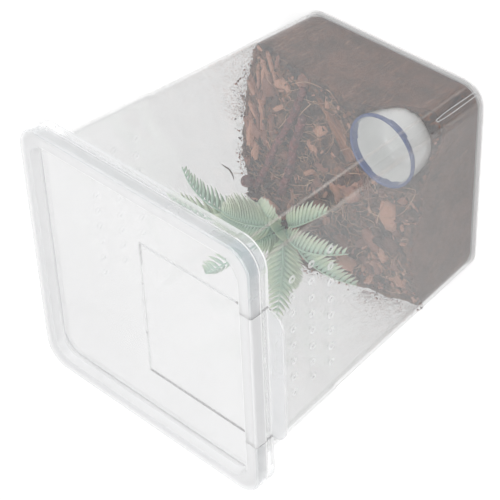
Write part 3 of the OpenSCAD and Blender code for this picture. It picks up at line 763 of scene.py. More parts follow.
# Against the walls it is pressed flat and looks paler, with fine pale threads in it.
fine = add(tree, "TexNoise", {"Scale": 0.9 / MM, "Detail": 5.0, "Roughness": 0.8}, {"Vector": at})
broad = add(tree, "TexNoise", {"Scale": 0.055 / MM, "Detail": 3.0, "Roughness": 0.6}, {"Vector": at})
share = add(tree, "Math", {1: 0.75}, {0: fine}, operation="MULTIPLY")
both = add(tree, "Math", {1: 0.25}, {0: broad, 2: share}, operation="MULTIPLY_ADD")
tone = add(tree, "ValToRGB", links={0: both},
           stops=((0.40, "#2c1a16"), (0.5, "#62402f"), (0.62, "#976b58")))
stretched = add(tree, "Mapping", {"Scale": (MM / 0.9, MM / 0.9, MM / 0.09)}, {"Vector": at},
                vector_type="TEXTURE")
strands = add(tree, "TexNoise", {"Scale": 1.0, "Detail": 2.0, "Distortion": 0.4}, {"Vector": stretched})
strand = add(tree, "MapRange", {1: 0.62, 2: 0.72, 3: 0.0, 4: 0.6}, {0: strands})
threaded = add(tree, "Mix", {7: linear("#b8937c")}, {0: strand, 6: tone}, data_type="RGBA")
mark = add(tree, "Attribute", attribute_name="pressed")
mixed = add(tree, "Mix", links={0: mark.outputs["Fac"], 6: loose.outputs[2], 7: threaded.outputs[2]},
            data_type="RGBA")
rough_top = add(tree, "Bump", {"Strength": 0.6, "Distance": 0.8 * MM}, {"Height": grit})
dull = add(tree, "BsdfPrincipled", {"Roughness": 0.92, "Specular IOR Level": 0.25},
           {"Base Color": mixed.outputs[2], "Normal": rough_top})
add(tree, "OutputMaterial", links={0: dull})
coat(soil, [damp_coir])
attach(soil, "tub")
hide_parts("soil_bed")

# ---- Coir fibres --------------------------------------------------------------------
# Long curly strands of coconut husk that lie over the bedding. The longest are laid one by
# one and the rest fall anywhere.
FIBRES = 330
FIBRE_STEP = 2.6
DISH_CLEAR = 29


def new_mesh(name, verts, faces, marks=()):
    """A piece from points and faces in metres, with its point attributes."""
    mesh = bpy.data.meshes.new(name)
    mesh.from_pydata(verts, [], faces)
    mesh.update()
    for mark, numbers in marks:
        mesh.attributes.new(mark, "FLOAT", "POINT").data.foreach_set("value", numbers)
    made = bpy.data.objects.new(name, mesh)
    scene.collection.objects.link(made)
    mesh.shade_smooth()
    return made


def tube(verts, faces, points, widths, sides):
    """Adds a closed tube along points in mm, with its width at each."""
    first = len(verts)
    up = Vector((0.31, 0.17, 0.94)).normalized()
    for k, p in enumerate(points):
        run = (points[min(k + 1, len(points) - 1)] - points[max(k - 1, 0)]).normalized()
        side = run.cross(up).normalized()
        over = side.cross(run)
        for j in range(sides):
            a = 2 * math.pi * j / sides
            verts.append((p + widths[k] / 2 * (math.cos(a) * side + math.sin(a) * over)) * MM)
    for k in range(len(points) - 1):
        for j in range(sides):
            a, b = first + k * sides + j, first + k * sides + (j + 1) % sides
            faces.append((a, a + sides, b + sides, b))
    faces.append(tuple(first + j for j in range(sides)))
    faces.append(tuple(first + (len(points) - 1) * sides + j for j in reversed(range(sides))))


def smooth_path(marks, steps):
    """Points of a smooth curve through the marks."""
    points = []
    for k in range(len(marks) - 1):
        a, b, c, d = (Vector(marks[min(max(i, 0), len(marks) - 1)]) for i in (k - 1, k, k + 1, k + 2))
        for j in range(steps):
            t = j / steps
            points.append(0.5 * (2 * b + (c - a) * t + (2 * a - 5 * b + 4 * c - d) * t * t
                                 + (3 * b - a - 3 * c + d) * t ** 3))
    points.append(Vector(marks[-1]))
    return points


# Each long fibre is its marks on the bed, its width and how far it springs up, in mm.
LONG_FIBRES = [
    ([(62, 36), (71, 23), (74, 15), (74, 7), (76, -2), (77, -10), (76, -16)], 0.9, 4.0),
    ([(76, -12), (70, -4), (63, 7), (59, 14), (53, 19), (47, 23), (42.7, 24), (39.5, 21), (38.7, 17),
      (46, 11)], 0.9, 5.0),
    ([(8, -7.6), (1.4, -8.7), (-2.5, -15), (-3.5, -27), (-7, -34), (-5.5, -44), (1.6, -58), (11, -68),
      (22, -72), (27.7, -73), (29.4, -70), (28, -64)], 0.7, 4.5),
    ([(12.5, -53), (2.2, -48.6), (-8.4, -45), (-14.6, -42.7)], 1.0, 4.0),
    ([(13.4, 7.5), (21.8, 12.5), (26.7, 11.8), (29.9, 9.9), (32.5, 4.7)], 0.6, 4.0),
    ([(16.8, -7.9), (16, -16), (18.5, -24), (18.8, -29), (20, -33)], 0.9, 3.5),
    ([(44, 74), (36, 76), (29.5, 75), (30.5, 72), (36.7, 62)], 0.5, 5.0),
]
dice = random.Random(11)
verts, faces = [], []
for marks, width, lift in LONG_FIBRES:
    lifts = [lift * (0.5 + 0.5 * math.sin(k * 1.3)) for k in range(len(marks))]
    path = smooth_path([(x, y, soil_z(x, y) + up) for (x, y), up in zip(marks, lifts)], 5)
    swell = [math.sin(math.pi * (k + 1) / (len(path) + 1)) ** 0.5 for k in range(len(path))]
    tube(verts, faces, path, [0.75 * width * (0.35 + 0.65 * s) for s in swell], 5)
for n in range(FIBRES):
    x, y = dice.uniform(-74, 74), dice.uniform(-74, 74)
    heading, bend = dice.uniform(0, 2 * math.pi), dice.gauss(0, 0.16)
    length, hump = dice.uniform(9, 44), dice.uniform(0.4, 3.4)
    count = max(5, int(length / FIBRE_STEP))
    path = []
    for k in range(count):
        if max(abs(x), abs(y)) > 76 or (Vector((x, y)) - DISH).length < DISH_CLEAR:
            break
        path.append(Vector((x, y, lumpy_z(x, y) + 0.35 + hump * math.sin(math.pi * k / count))))
        heading += bend + dice.gauss(0, 0.12)
        x += FIBRE_STEP * math.cos(heading)
        y += FIBRE_STEP * math.sin(heading)
    if len(path) > 4:
        width = dice.uniform(0.26, 0.5)
        swell = [math.sin(math.pi * (k + 1) / (len(path) + 1)) for k in range(len(path))]
        tube(verts, faces, path, [width * (0.4 + 0.6 * s) for s in swell], 4)
fibres = new_mesh("coir_fibres", verts, faces)


def mottled(name, cells_per_mm, detail, stops, roughness):
    """A dull natural material whose colour wanders between a few tones in soft patches."""
    material, tree = bare_material(name)
    at = add(tree, "TexCoord").outputs["Object"]
    patch = add(tree, "TexNoise", {"Scale": cells_per_mm / MM, "Detail": detail}, {"Vector": at})
    tone = add(tree, "ValToRGB", links={0: patch}, stops=stops)
    skin = add(tree, "BsdfPrincipled", {"Roughness": roughness}, {"Base Color": tone})
    add(tree, "OutputMaterial", links={0: skin})
    return material


# Dry husk fibre: waxy tan that pales in patches 17 mm across.
dry_fibre = mottled("dry_coconut_fibre", 0.06, 2.0, ((0.4, "#94664c"), (0.62, "#dbb592")), 0.6)
coat(fibres, [dry_fibre])
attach(fibres, "tub")

# ---- Crushed bark -------------------------------------------------------------------
# Broken flakes of pine bark over the bedding, splinters of it stacked against the far
# wall, seven larger chips, and the crumbs and dust that cling to the walls.
# The ends and width of the two twigs and the splinter, which the flakes leave clear by a
# share of that width.
WOOD = [((65.8, 20.6), (-39.6, 69.0), 5.6), ((44.4, 22.2), (-31.7, 41.2), 6.4),
        ((63.6, 9.6), (26.6, -19.2), 10.4)]
WOOD_CLEAR = 0.625
FLAKES = 700
LARGE_FLAKES = 131
SPLINTERS = 46
DUST = 900
FINE_DUST = 3000
MODELS = 5
FULL_TURN = 6.28
# The seed settles how the flakes' and grains' corners wander.
noise.seed_set(3)
flakes = []
for k in range(MODELS):
    flake = added(bpy.ops.mesh.primitive_cube_add, size=1)
    bpy.ops.object.mode_set(mode="EDIT")
    bpy.ops.mesh.subdivide(number_cuts=2)
    bpy.ops.object.mode_set(mode="OBJECT")
    for v in flake.data.vertices:
        wander = noise.noise_vector(v.co * 2.3 + Vector((k * 7.1, 0, 0)))
        tapered = (v.co.x * (1 - 0.35 * abs(v.co.y)), v.co.y * (1 - 0.5 * abs(v.co.x)), v.co.z)
        v.co = Vector(tapered) + 0.22 * wander
    flakes.append(flake)


def scatter(name, models, places):
    """One piece of many copies; each place is a model's number, a matrix and a tint from 0 to 1."""
    verts, faces, tints, along = [], [], [], []
    for which, place, tint in places:
        model = models[which].data
        first = len(verts)
        verts += [place @ v.co for v in model.vertices]
        faces += [[first + i for i in face.vertices] for face in model.polygons]
        tints += [tint] * len(model.vertices)
        along += [v.co.x for v in model.vertices]
    return new_mesh(name, verts, faces, (("tint", tints), ("along", along)))


def lying(x, y, z, turn, tilt, roll, size):
    """Matrix of a piece that lies at a place, turned, tilted and stretched, in mm."""
    set_down = Matrix.Translation(Vector((x, y, z)) * MM) @ Matrix.Rotation(turn, 4, "Z")
    lean = Matrix.Rotation(tilt, 4, "Y") @ Matrix.Rotation(roll, 4, "X")
    return set_down @ lean @ Matrix.Diagonal((*(s * MM for s in size), 1))


def crumb(which, x, y, z, size, tint):
    """Place of a crumb that lies any way up, with a tint of up to a value."""
    turns = dice.uniform(0, FULL_TURN), dice.uniform(0, 3), dice.uniform(0, 3)
    return which, lying(x, y, z, *turns, size), tint * dice.random()


def off_line(p, a, b):
    """How far a point of the bed is from the line between two others, in mm."""
    t = max(0, min(1, (p - a).dot(b - a) / (b - a).length_squared))
    return (p - a - t * (b - a)).length


def in_corner(x, y, size):
    """Whether a thing of a size, in mm, would stick out of the tub's rounded corners."""
    a, b = abs(x) - (BED_HALF - 15), abs(y) - (BED_HALF - 15)
    return a > 0 and b > 0 and math.hypot(a, b) > 14 - size / 2


# Split pine bark: dull, dark grey-brown outside and orange-brown where it has split, in
# rough grains 1.7 mm across. The tint says how fresh each piece's split is.
pine_bark, tree = bare_material("split_pine_bark")
mark = add(tree, "Attribute", attribute_name="tint")
at = add(tree, "TexCoord").outputs["Object"]
streak = add(tree, "TexNoise", {"Scale": 0.6 / MM, "Detail": 7.0, "Roughness": 0.8}, {"Vector": at})
shift = add(tree, "Math", {1: 0.45}, {0: streak, 2: mark.outputs["Fac"]}, operation="MULTIPLY_ADD")
tone = add(tree, "ValToRGB", links={0: shift},
           stops=((0.2, "#33292a"), (0.5, "#5e4138"), (0.78, "#98695a"), (1.35 / 1.4, "#c4917a")))
ridges = add(tree, "Bump", {"Strength": 0.6, "Distance": 0.5 * MM}, {"Height": streak})
dull = add(tree, "BsdfPrincipled", {"Roughness": 0.85, "Specular IOR Level": 0.3},
           {"Base Color": tone, "Normal": ridges})
add(tree, "OutputMaterial", links={0: dull})


def settle(piece, materials, node=None):
    """Coats a piece, seats it in the tub and puts it in a part's place."""
    coat(piece, materials)
    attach(piece, "tub")
    if node:
        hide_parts(node)


places = []
for n in range(FLAKES):
    x, y = dice.uniform(-76, 76), dice.uniform(-76, 76)
    if (Vector((x, y)) - DISH).length < DISH_CLEAR + 1:
        continue
    if any(off_line(Vector((x, y)), Vector(a), Vector(b)) < WOOD_CLEAR * thick for a, b, thick in WOOD):
        continue
    length = dice.uniform(2.0, 5.5) if n >= LARGE_FLAKES else dice.uniform(6, 15)
    if max(abs(x), abs(y)) > 77.5 - length / 2 or in_corner(x, y, length):
        continue
    which = dice.randrange(MODELS)
    turns = dice.uniform(0, FULL_TURN), dice.gauss(0, 0.25), dice.gauss(0, 0.4)
    size = length, length * dice.uniform(0.3, 0.6), length * dice.uniform(0.12, 0.3)
    places.append((which, lying(x, y, lumpy_z(x, y) + 0.3, *turns, size), dice.random()))
for n in range(SPLINTERS):
    x, y = dice.uniform(-60, 74), 76 - abs(dice.gauss(0, 11))
    length, wide = dice.uniform(9, 24), dice.uniform(2.2, 4.6)
    if abs(x) + length / 2 > 78 or in_corner(abs(x) + 0.4 * length, y, 3):
        continue
    sparse = -46 < x < -4
    length = length * 0.5 if sparse else length
    which = dice.randrange(MODELS)
    turns = dice.gauss(0.1, 0.22), dice.gauss(0, 0.1), dice.gauss(0, 0.3)
    place = lying(x, min(y, 77 - wide / 2), lumpy_z(x, min(y, 76)) + 0.8, *turns, (length, wide, 2.2))
    places.append((which, place, dice.uniform(0.4, 0.95) * (0.6 if sparse else 1)))
settle(scatter("crushed_bark", flakes, places), [pine_bark])

# Each chip is its place across and along as shares of the bed, its turn, size and tint.
CHIPS = [(0.62, 0.74, 20, 0.8, 0.45), (0.16, 0.85, 75, 0.7, 0.5), (-0.02, -0.24, 130, 0.9, 0.6),
         (0.00, -0.68, 10, 1.0, 0.8), (-0.36, -0.50, 60, 0.8, 0.55), (-0.66, -0.80, 155, 0.7, 0.7),
         (-0.76, -0.22, 95, 0.8, 0.9)]
for k, (across, along, turn, size, tint) in enumerate(CHIPS):
    x, y = across * BED_HALF, along * BED_HALF
    place = lying(x, y, lumpy_z(x, y) + 0.8 * size, math.radians(turn), 0.1, 0.15,
                  (21 * size, 13 * size, 4.5 * size))
    name = f"bark_chip_{k + 1}"
    settle(scatter(name, flakes, [(k % MODELS, place, tint)]), [pine_bark], name)

# Dust and crumbs: dry grains that cling to three of the clear walls above the bedding.
places = []
for n in range(DUST):
    span, above = dice.uniform(-1, 1), abs(dice.gauss(0, 1))
    by_wall = wall_half(70) - WALL - 0.6
    if n % 3 == 0:
        x, y = span * 70, by_wall
        reach = 5.5 if span > 0.1 else 3.0
    elif n % 3 == 1:
        x, y = -by_wall, span * 74
        reach = 5.5 if span < -0.3 else 2.5
    else:
        x, y = span * 74, -by_wall
        reach = 1.6
    z = max(soil_z(x, y), 40) + above * reach
    size = dice.uniform(0.3, 0.9) if dice.random() < 0.85 else dice.uniform(0.9, 2.2)
    half = wall_half(z) - WALL - size * 0.3 - 0.15
    if abs(y) > abs(x):
        y = math.copysign(half, y)
    else:
        x = math.copysign(half, x)
    places.append(crumb(dice.randrange(MODELS), x, y, z, (size, size * 0.6, size * 0.45), 0.75))
settle(scatter("bark_dust_on_the_walls", flakes, places), [pine_bark])

# Finer dust, thrown up as the bedding was poured in, hangs higher on two of the walls.
grains = []
for k in range(3):
    grain = added(bpy.ops.mesh.primitive_ico_sphere_add, subdivisions=1, radius=0.5)
    for v in grain.data.vertices:
        v.co += 0.25 * noise.noise_vector(v.co * 3 + Vector((k * 5.3, 0, 0)))
    grains.append(grain)
poured = random.Random(23)
places = []
for n in range(FINE_DUST):
    share = poured.random()
    coarse = n % 10 < 2
    size = poured.uniform(0.5, 0.85) if coarse else poured.uniform(0.35, 0.65)
    reach = (6 + 25 * share) * (0.5 if coarse else 1)
    x, y = (20 + 56 * share, 77) if n // 10 % 2 else (-77, -32 - 45 * share)
    z = max(soil_z(x, y), 40) + abs(poured.gauss(0, 1)) * reach
    middle = wall_half(z) - wall_r(z)
    inner = wall_r(z) - WALL - 0.15 - size * 0.3
    a, b = max(0, abs(x) - middle), max(0, abs(y) - middle)
    if min(a, b) > 0:
        x, y = (math.copysign(middle + c * inner / math.hypot(a, b), s) for c, s in ((a, x), (b, y)))
    elif y > 0:
        y = middle + inner
    else:
        x = -middle - inner
    turns = [poured.uniform(0, FULL_TURN) for _ in range(3)]
    tint = poured.uniform(0, 0.5) if coarse else poured.uniform(0.3, 1)
    places.append((n % 3, lying(x, y, z, *turns, (size, size * 0.75, size * 0.6)), tint))
settle(scatter("fine_dust_on_the_walls", grains, places), [pine_bark])

# One dark curl of husk clings higher up on the far wall.
verts, faces = [], []
curl = smooth_path([(-11.2, 79.0, 89.4), (-16, 79.0, 85.6), (-19.2, 79.0, 82.8), (-26, 79.0, 79.6),
                    (-30.8, 79.0, 78.6)], 4)
tube(verts, faces, curl, [0.4 + 0.85 * math.sin(math.pi * k / 16) for k in range(17)], 6)
settle(new_mesh("husk_curl", verts, faces, (("tint", [0.25] * len(verts)),)), [pine_bark])

# Hair-thin fibres stand off the bedding's edge against the same wall.
WALL_FIBRES = [
    ([(-5, 63), (-9, 68.5), (-13, 70.4), (-18, 71.3), (-25, 70.6), (-35, 66)], 0.35),
    ([(-26, 63.5), (-21.8, 64.3), (-19, 62), (-21.5, 58.5), (-24.6, 56.2), (-28.1, 57.9), (-26.5, 61)], 0.7),
    ([(-12, 60), (-16, 63.5), (-22, 66), (-29, 65), (-31, 61)], 0.5),
    ([(-24, 80.7), (-30.6, 69.9)], 0.3),
]
verts, faces = [], []
for marks, width in WALL_FIBRES:
    path = smooth_path([(x, wall_half(z) - 2.6, z) for x, z in marks], 6)
    tube(verts, faces, path, [width] * len(path), 5)
settle(new_mesh("fibres_by_the_wall", verts, faces), [dry_fibre])

# Dark crumbs fill the gap under the knot of the first twig, and also stand in for the shade that falls there.
places = []
for n in range(90):
    x, y = -46 + dice.gauss(0, 6), 71 + dice.gauss(0, 4)
    x, y = max(-58, min(-36, x)), min(76, y)
    size = dice.uniform(1.2, 3.6)
    places.append(crumb(dice.randrange(MODELS), x, y, lumpy_z(x, y) + dice.uniform(0.5, 3.5),
                        (size, size * 0.8, size * 0.7), 0.22))
settle(scatter("dark_crumbs", flakes, places), [pine_bark])

# ---- Water dish ---------------------------------------------------------------------
# A small pressed-steel dish under white vitreous enamel, with its rolled rim dipped in
# blue enamel. It stands pressed into the bedding in one corner.
RIM_R = 25.9
RIM_Z = 68.4
DIP_Z = 65.5


def circle(radius, height):
    """In edit mode, adds a loop of a circle about the dish's axis, sizes in mm."""
    bpy.ops.mesh.primitive_circle_add(vertices=72, radius=radius * MM, location=(*DISH * MM, height * MM))


outside = [(6, 43.0), (17.5, 43.0), (20.2, 43.4), (22.4, 45.2), (24.0, 48.5), (25.0, 53.0), (25.5, 58.0),
           (25.6, 63.4), (25.6, 64.8), (25.5, 65.8), (25.4, 66.6)]
rolled = [(RIM_R + 1.25 * math.cos(a), RIM_Z + 1.55 * math.sin(a))
          for a in (math.radians(d) for d in range(-100, 215, 21))]
inside = [(24.3, 67.2), (24.25, 66.4), (24.2, 65.6), (24.1, 64.8), (24.0, 64.0), (23.9, 58.0), (23.3, 53.4),
          (22.2, 49.6), (20.4, 46.9), (17.6, 45.4), (12.0, 44.8), (6.0, 44.6)]
dish = loft("enamel_dish", circle, outside + rolled + inside)
bpy.ops.object.shade_smooth_by_angle(angle=math.radians(50))


def enamel(name, cells_per_mm, thick_colour, thin_colour, roughness, coat_weight, coat_roughness):
    """Glassy fired enamel, a little uneven in colour, with a hard shine that mirrors the lamps."""
    material, tree = bare_material(name)
    at = add(tree, "TexCoord").outputs["Object"]
    cloud = add(tree, "TexNoise", {"Scale": cells_per_mm / MM, "Detail": 3.0}, {"Vector": at})
    fired = add(tree, "Mix", {6: linear(thick_colour), 7: linear(thin_colour)}, {0: cloud}, data_type="RGBA")
    glaze = add(tree, "BsdfPrincipled", {"Roughness": roughness, "Coat Weight": coat_weight,
                                         "Coat Roughness": coat_roughness}, {"Base Color": fired.outputs[2]})
    add(tree, "OutputMaterial", links={0: glaze})
    return material


white_enamel = enamel("white_vitreous_enamel", 0.06, "#f6f7f5", "#eceeec", 0.12, 0.6, 0.04)
blue_enamel = enamel("blue_vitreous_enamel", 0.16, "#26437f", "#45609c", 0.1, 0.8, 0.03)


def dipped(face):
    """The rim takes the blue enamel, whose lower edge wanders a little."""
    angle = math.atan2(face.center.y - DISH.y * MM, face.center.x - DISH.x * MM)
    run = 0.9 * math.sin(3 * angle) + 0.6 * math.sin(7 * angle + 1) + 0.4 * math.sin(13 * angle + 2)
    return blue_enamel if face.center.z / MM > DIP_Z + run * 0.45 else white_enamel


coat(dish, [white_enamel, blue_enamel], dipped)
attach(dish, "tub")
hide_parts("water_dish")

# Crumbs of bark cling to the dish where it was pushed through the bedding.
places = []
for n in range(46):
    angle = math.radians(dice.gauss(52, 22))
    z = dice.uniform(50, 63)
    size = dice.uniform(0.4, 1.3)
    radius = (25.2 if z < 58 else 25.6) + 0.3
    x, y = DISH.x + radius * math.cos(angle), DISH.y + radius * math.sin(angle)
    places.append(crumb(dice.randrange(MODELS), x, y, z, (size, size * 0.7, size * 0.5), 0.6))
settle(scatter("crumbs_on_the_dish", flakes, places), [pine_bark])

# ---- Wood ---------------------------------------------------------------------------
# A splinter of old wood, grey-brown and split along its grain, and two forest twigs in
# thin reddish bark with pale pores and the bumps of old buds.
SPLINTER_TURN = math.radians(38)
SPLINTER_HALF = 23.5
x, y = 0.57 * BED_HALF, -0.06 * BED_HALF
splinter_place = Matrix.Translation(Vector((x, y, soil_z(x, y) - 0.4)) * MM)
splinter_place @= Matrix.Rotation(SPLINTER_TURN, 4, "Z")
splinter = added(bpy.ops.mesh.primitive_grid_add, "wood_splinter", x_subdivisions=64, y_subdivisions=22,
                 size=2)
thicken((0, 0, -1))
for v in splinter.data.vertices:
    u, w = v.co.x, v.co.y
    wide = 7.2 - 3.6 * (u * 0.5 + 0.5) ** 1.2 + 0.8 * noise.noise(Vector((u * 3, w * 2, 5)))
    frayed = 2.6 * noise.noise(Vector((w * 5, 0, 9))) * u * u
    groove = 1.5 * noise.noise(Vector((u * 1.2, w * 7, 2))) + 0.8 * noise.noise(Vector((u * 2, w * 17, 4)))
    crown = 2.2 * (1 - w * w)
    z = -1.6 if v.co.z < -0.5 else 0.4 + crown + groove
    v.co = splinter_place @ (Vector((u * SPLINTER_HALF + frayed, w * wide, z)) * MM)
bpy.ops.object.shade_smooth_by_angle(angle=math.radians(50))

# Split weathered wood: dull brown streaks 0.9 mm wide and 17 mm long, along the splinter.
split_wood, tree = bare_material("split_weathered_wood")
at = add(tree, "TexCoord").outputs["Object"]
along = add(tree, "Mapping", {"Rotation": (0, 0, SPLINTER_TURN), "Scale": (MM / 0.06, MM / 1.1, MM / 0.3)},
            {"Vector": at}, vector_type="TEXTURE")
grain = add(tree, "TexNoise", {"Scale": 1.0, "Detail": 4.0, "Roughness": 0.6}, {"Vector": along})
tone = add(tree, "ValToRGB", links={0: grain}, stops=((0.3, "#46291d"), (0.5, "#84523a"), (0.7, "#b07b56")))
dull = add(tree, "BsdfPrincipled", {"Roughness": 0.8}, {"Base Color": tone})
add(tree, "OutputMaterial", links={0: dull})
settle(splinter, [split_wood], "bark_slab")

# Smooth twig bark: satin reddish brown in patches 5 mm across, with pale pores 2 mm apart.
twig_bark, tree = bare_material("smooth_reddish_twig_bark")
at = add(tree, "TexCoord").outputs["Object"]
patch = add(tree, "TexNoise", {"Scale": 0.19 / MM, "Detail": 4.0}, {"Vector": at})
tone = add(tree, "ValToRGB", links={0: patch}, stops=((0.36, "#3a1a20"), (0.64, "#7c3c3d")))
pores = add(tree, "TexVoronoi", {"Scale": 0.46 / MM}, {"Vector": at})
dot = add(tree, "MapRange", {1: 0.16, 2: 0.3, 3: 0.75, 4: 0.0}, {0: pores.outputs["Distance"]})
spotted = add(tree, "Mix", {7: linear("#b98f84")}, {0: dot, 6: tone}, data_type="RGBA")
bark_skin = add(tree, "BsdfPrincipled", {"Roughness": 0.55}, {"Base Color": spotted.outputs[2]})
add(tree, "OutputMaterial", links={0: bark_skin})

# Each bud is its share of the twig's length and the way it points.
BUDS = ((0.13, 0.6), (0.31, -0.9), (0.47, 0.8), (0.66, -0.5), (0.86, 1.0))
TWIG_STEPS = 60
for number, (start, end, thick) in enumerate(WOOD[:2], 1):
    path, widths = [], []
    a, b = (Vector((x, y, soil_z(x, y) + 0.55 * thick)) for x, y in (start, end))
    for k in range(TWIG_STEPS + 1):
        t = k / TWIG_STEPS
        p = a.lerp(b, t)
        p.x += 1.3 * math.sin(2.1 * math.pi * t + number)
        p.y += 1.1 * math.sin(3.3 * math.pi * t + 2 * number)
        p.z = max(p.z, soil_z(p.x, p.y) + 0.1 * thick)
        knot = sum(math.exp(-((t - where) / 0.018) ** 2) for where, _ in BUDS)
        end_round = min(1, math.sqrt(max(0.02, 1 - max(0, abs(t - 0.5) * 2 - 0.97) ** 2 / 0.0009)))
        path.append(p)
        widths.append(thick * (0.92 + 0.22 * knot + 0.08 * math.sin(40 * t)) * end_round)
    verts, faces = [], []
    tube(verts, faces, path, widths, 14)
    for where, turn in BUDS:
        p = path[int(where * TWIG_STEPS)]
        out = Vector((math.sin(turn) * 0.5, math.cos(turn * 2) * 0.5, 0.7)).normalized()
        tube(verts, faces, [p + out * thick * share for share in (0.3, 0.62, 0.72)],
             [thick * share for share in (0.5, 0.34, 0.1)], 8)
    if number == 1:
        knob = [Vector((-33.0 - 1.4 * k, 70.5 + 2.3 * k, soil_z(-33, 70) + 3.6 + 0.2 * k)) for k in range(5)]
        tube(verts, faces, knob, (4.6, 8.2, 9.4, 8.0, 3.0), 14)
    settle(new_mesh(f"twig_with_bark_{number}", verts, faces), [twig_bark], f"twig_{number}")

# ---- Fern ---------------------------------------------------------------------------
# A moulded plastic fern. Ten fronds of soft leaflets and three short young ones leave a
# dark woody crown, blue-green along their ribs and pale lime at the tips.
FERN_HALF = 80.43
CROWN_SCALES = 16
CROWN = Vector((-0.54 * FERN_HALF, 0.325 * FERN_HALF, 89))
verts, faces = [], []
stem = [CROWN + Vector((0.8 * math.sin(k * 0.9), 0.8 * math.cos(k * 1.3), -28 + 3.4 * k)) for k in range(10)]
tube(verts, faces, stem, (6.0, 7.0, 7.6, 7.2, 7.8, 7.4, 8.2, 8.8, 8.0, 3.0), 14)
for k in range(CROWN_SCALES):
    turn = k * 2.4
    out = Vector((math.cos(turn), math.sin(turn), 0.9)).normalized()
    foot = CROWN + Vector((2.6 * out.x, 2.6 * out.y, -14 + 0.95 * k))
    tube(verts, faces, [foot, foot + 2.6 * out, foot + 4.6 * out + Vector((0, 0, 0.8))], (2.4, 1.7, 0.5), 7)
# Moulded plastic that looks like wood: satin dark brown, in patches 3 mm across.
crown_scales = mottled("dark_brown_moulded_crown", 0.3, 3.0, ((0.38, "#1f1417"), (0.62, "#533a36")), 0.6)
settle(new_mesh("fern_crown", verts, faces), [crown_scales], "fern_stem")

# Soft moulded plastic: satin, and paler the nearer a leaflet's tip it is.
leaf_plastic, tree = bare_material("soft_moulded_leaf_plastic")
reach = add(tree, "Attribute", attribute_name="reach")
mark = add(tree, "Attribute", attribute_name="tint")
green = add(tree, "ValToRGB", links={0: reach.outputs["Fac"]},
            stops=((0.0, "#8ab2a4"), (0.3, "#aecfb8"), (0.62, "#d8e8c8"), (1.0, "#eff2dc")))
aged = add(tree, "Mix", {7: linear("#9bbdb4")}, {0: mark.outputs["Fac"], 6: green}, data_type="RGBA")
soft = add(tree, "BsdfPrincipled", {"Roughness": 0.5, "Specular IOR Level": 0.35},
           {"Base Color": aged.outputs[2]})
add(tree, "OutputMaterial", links={0: soft})

# Each row is the tip's place across, along and up and the arch, as shares of the fern's half
# width, the tier on the stem, how far the leaflets of each side lean up or hang down in
# degrees, the pairs of leaflets, the longest one in mm, their paleness, and how far they
# sweep forward. The last three are the short young fronds of the crown.
FRONDS = [(0.13, 0.95, 0.50, 0.42, 1, -75, -72, 17, 13, 0.5, 0.35),
          (-0.06, 0.98, 0.67, 0.41, 0, -75, -75, 14, 14, 1.0, 0.35),
          (-0.17, 0.55, 0.46, 0.145, 2, -70, 60, 19, 20, 1.0, 0.35),
          (-0.27, 0.50, 0.075, 0.13, 1, -10, 20, 12, 17, 1.0, 0.35),
          (-0.09, -0.20, -0.06, 0.24, 0, -85, -5, 13, 17, 1.0, 0.7),
          (-0.27, -0.54, 0.075, 0.34, 1, -60, -20, 16, 15.5, 0.9, 0.35),
          (-0.73, -0.51, -0.075, 0.29, 0, -60, -20, 17, 16, 0.9, 0.35),
          (-0.69, -0.31, 0.72, -0.07, 2, -75, 105, 15, 14, 0.85, 0.6),
          (-0.93, 0.745, 0.50, 0.50, 1, -10, -60, 14, 11, 0.55, 0.35),
          (-0.80, -0.06, 0.28, 0.2, 0, 40, -45, 17, 17, 0.8, 0.35),
          (-0.58, 0.425, 0.17, 0.05, 1, 10, 30, 9, 14, 0.75, 0.35),
          (-0.45, 0.26, 0.11, 0.04, 1, -10, -10, 8, 12, 0.8, 0.35),
          (-0.69, 0.36, 0.10, 0.05, 1, 25, 0, 9, 13, 0.75, 0.35)]
OLD_FRONDS = 10
RIB_STEPS = 24
# A leaflet's half width at each sixth of its length, and its section: across, and up or down.
LEAF_WIDTHS = (1.0, 2.8, 3.3, 2.9, 1.9, 0.3)
LEAF_SECTION = ((1, 0.28), (0, 0.0), (-1, 0.28), (-0.9, 0.12), (0, -0.25), (0.9, 0.12))


def on_rib(root, peak, tip, t):
    """Point of a frond's arched rib at a share t of its length."""
    return (1 - t) ** 2 * root + 2 * t * (1 - t) * peak + t * t * tip


def inside_walls(p):
    """Holds a point of the fern inside the tub's walls, in mm."""
    free = wall_half(p.z) - 2.8
    return Vector((max(-free, min(free, p.x)), max(-free, min(free, p.y)), p.z))


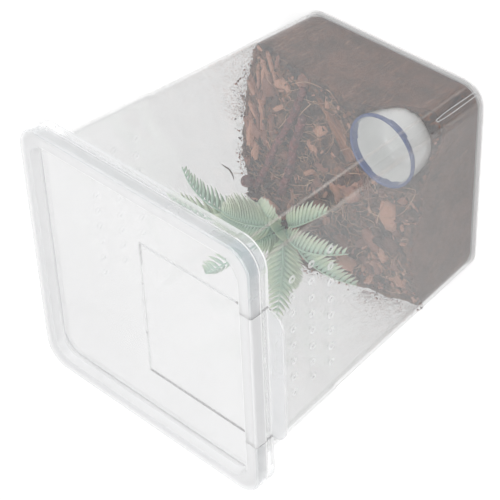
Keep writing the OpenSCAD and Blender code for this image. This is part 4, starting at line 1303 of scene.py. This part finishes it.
for number, row in enumerate(FRONDS, 1):
    across, along, rise, arch, tier, lean, far_lean, pairs, longest, pale, sweep = row
    tip = Vector((across * FERN_HALF, along * FERN_HALF, CROWN.z + rise * FERN_HALF))
    out = (tip - CROWN) * Vector((1, 1, 0))
    out.normalize()
    root = CROWN + Vector((0, 0, 3.5 * tier - 8)) + 3 * out
    peak = (root + tip) / 2 + Vector((0, 0, arch * FERN_HALF))
    rib = [on_rib(root, peak, tip, k / RIB_STEPS) for k in range(RIB_STEPS + 1)]
    verts, faces = [], []
    tube(verts, faces, rib, [2.0 - 1.3 * k / RIB_STEPS for k in range(RIB_STEPS + 1)], 8)
    reaches = [0.1 + 0.5 * pale * (k // 8) / RIB_STEPS for k in range(len(verts))]
    tints = [0.1] * len(verts)
    for pair in range(pairs):
        t = 0.10 + 0.88 * pair / (pairs - 0.5)
        p = on_rib(root, peak, tip, t)
        run = (2 * (1 - t) * (peak - root) + 2 * t * (tip - peak)).normalized()
        side = run.cross(Vector((0, 0, 1))).normalized()
        over = side.cross(run)
        length = longest * (0.8 * math.sin(math.pi * t ** 0.75) + 0.2)
        broad = (0.42 + 0.008 * longest) * min(1, 0.45 + 0.8 * length / longest) * (0.5 + 0.5 * pale)
        for hand, angle in ((1, math.radians(lean)), (-1, math.radians(far_lean))):
            length_now = length * dice.uniform(0.9, 1.08)
            forward = 0.35 + 0.75 * t * t + dice.gauss(0, 0.05)
            away = math.cos(angle) * hand * side + math.sin(angle) * over
            face_up = -math.sin(angle) * hand * side + math.cos(angle) * over
            start = (away + sweep * run).normalized()
            bend = 0.5 * forward * run - 0.1 * face_up
            leaf = [inside_walls(p + length_now * (k / 5 * start + (k / 5) ** 2 * bend)) for k in range(6)]
            first = len(verts)
            tint = dice.uniform(0, 0.25) + 0.3 * (1 - pale)
            for k, q in enumerate(leaf):
                ahead = (leaf[min(k + 1, 5)] - leaf[max(k - 1, 0)]).normalized()
                flat = ahead.cross(face_up).normalized()
                upward = flat.cross(ahead)
                half = LEAF_WIDTHS[k] * broad
                for sideways, up in LEAF_SECTION:
                    verts.append((q + half * sideways * flat + half * up * upward) * MM)
                    reaches.append(0.2 + 0.8 * pale * k / 5)
                    tints.append(tint)
            for k in range(5):
                for j in range(6):
                    a, b = first + 6 * k + j, first + 6 * k + (j + 1) % 6
                    faces.append((a, b, b + 6, a + 6))
            faces.append(tuple(first + j for j in reversed(range(6))))
            faces.append(tuple(first + 30 + j for j in range(6)))
    frond = new_mesh(f"frond_{number}", verts, faces, (("reach", reaches), ("tint", tints)))
    settle(frond, [leaf_plastic], f"fern_frond_{number}" if number <= OLD_FRONDS else None)

for model in flakes + grains:
    bpy.data.objects.remove(model)
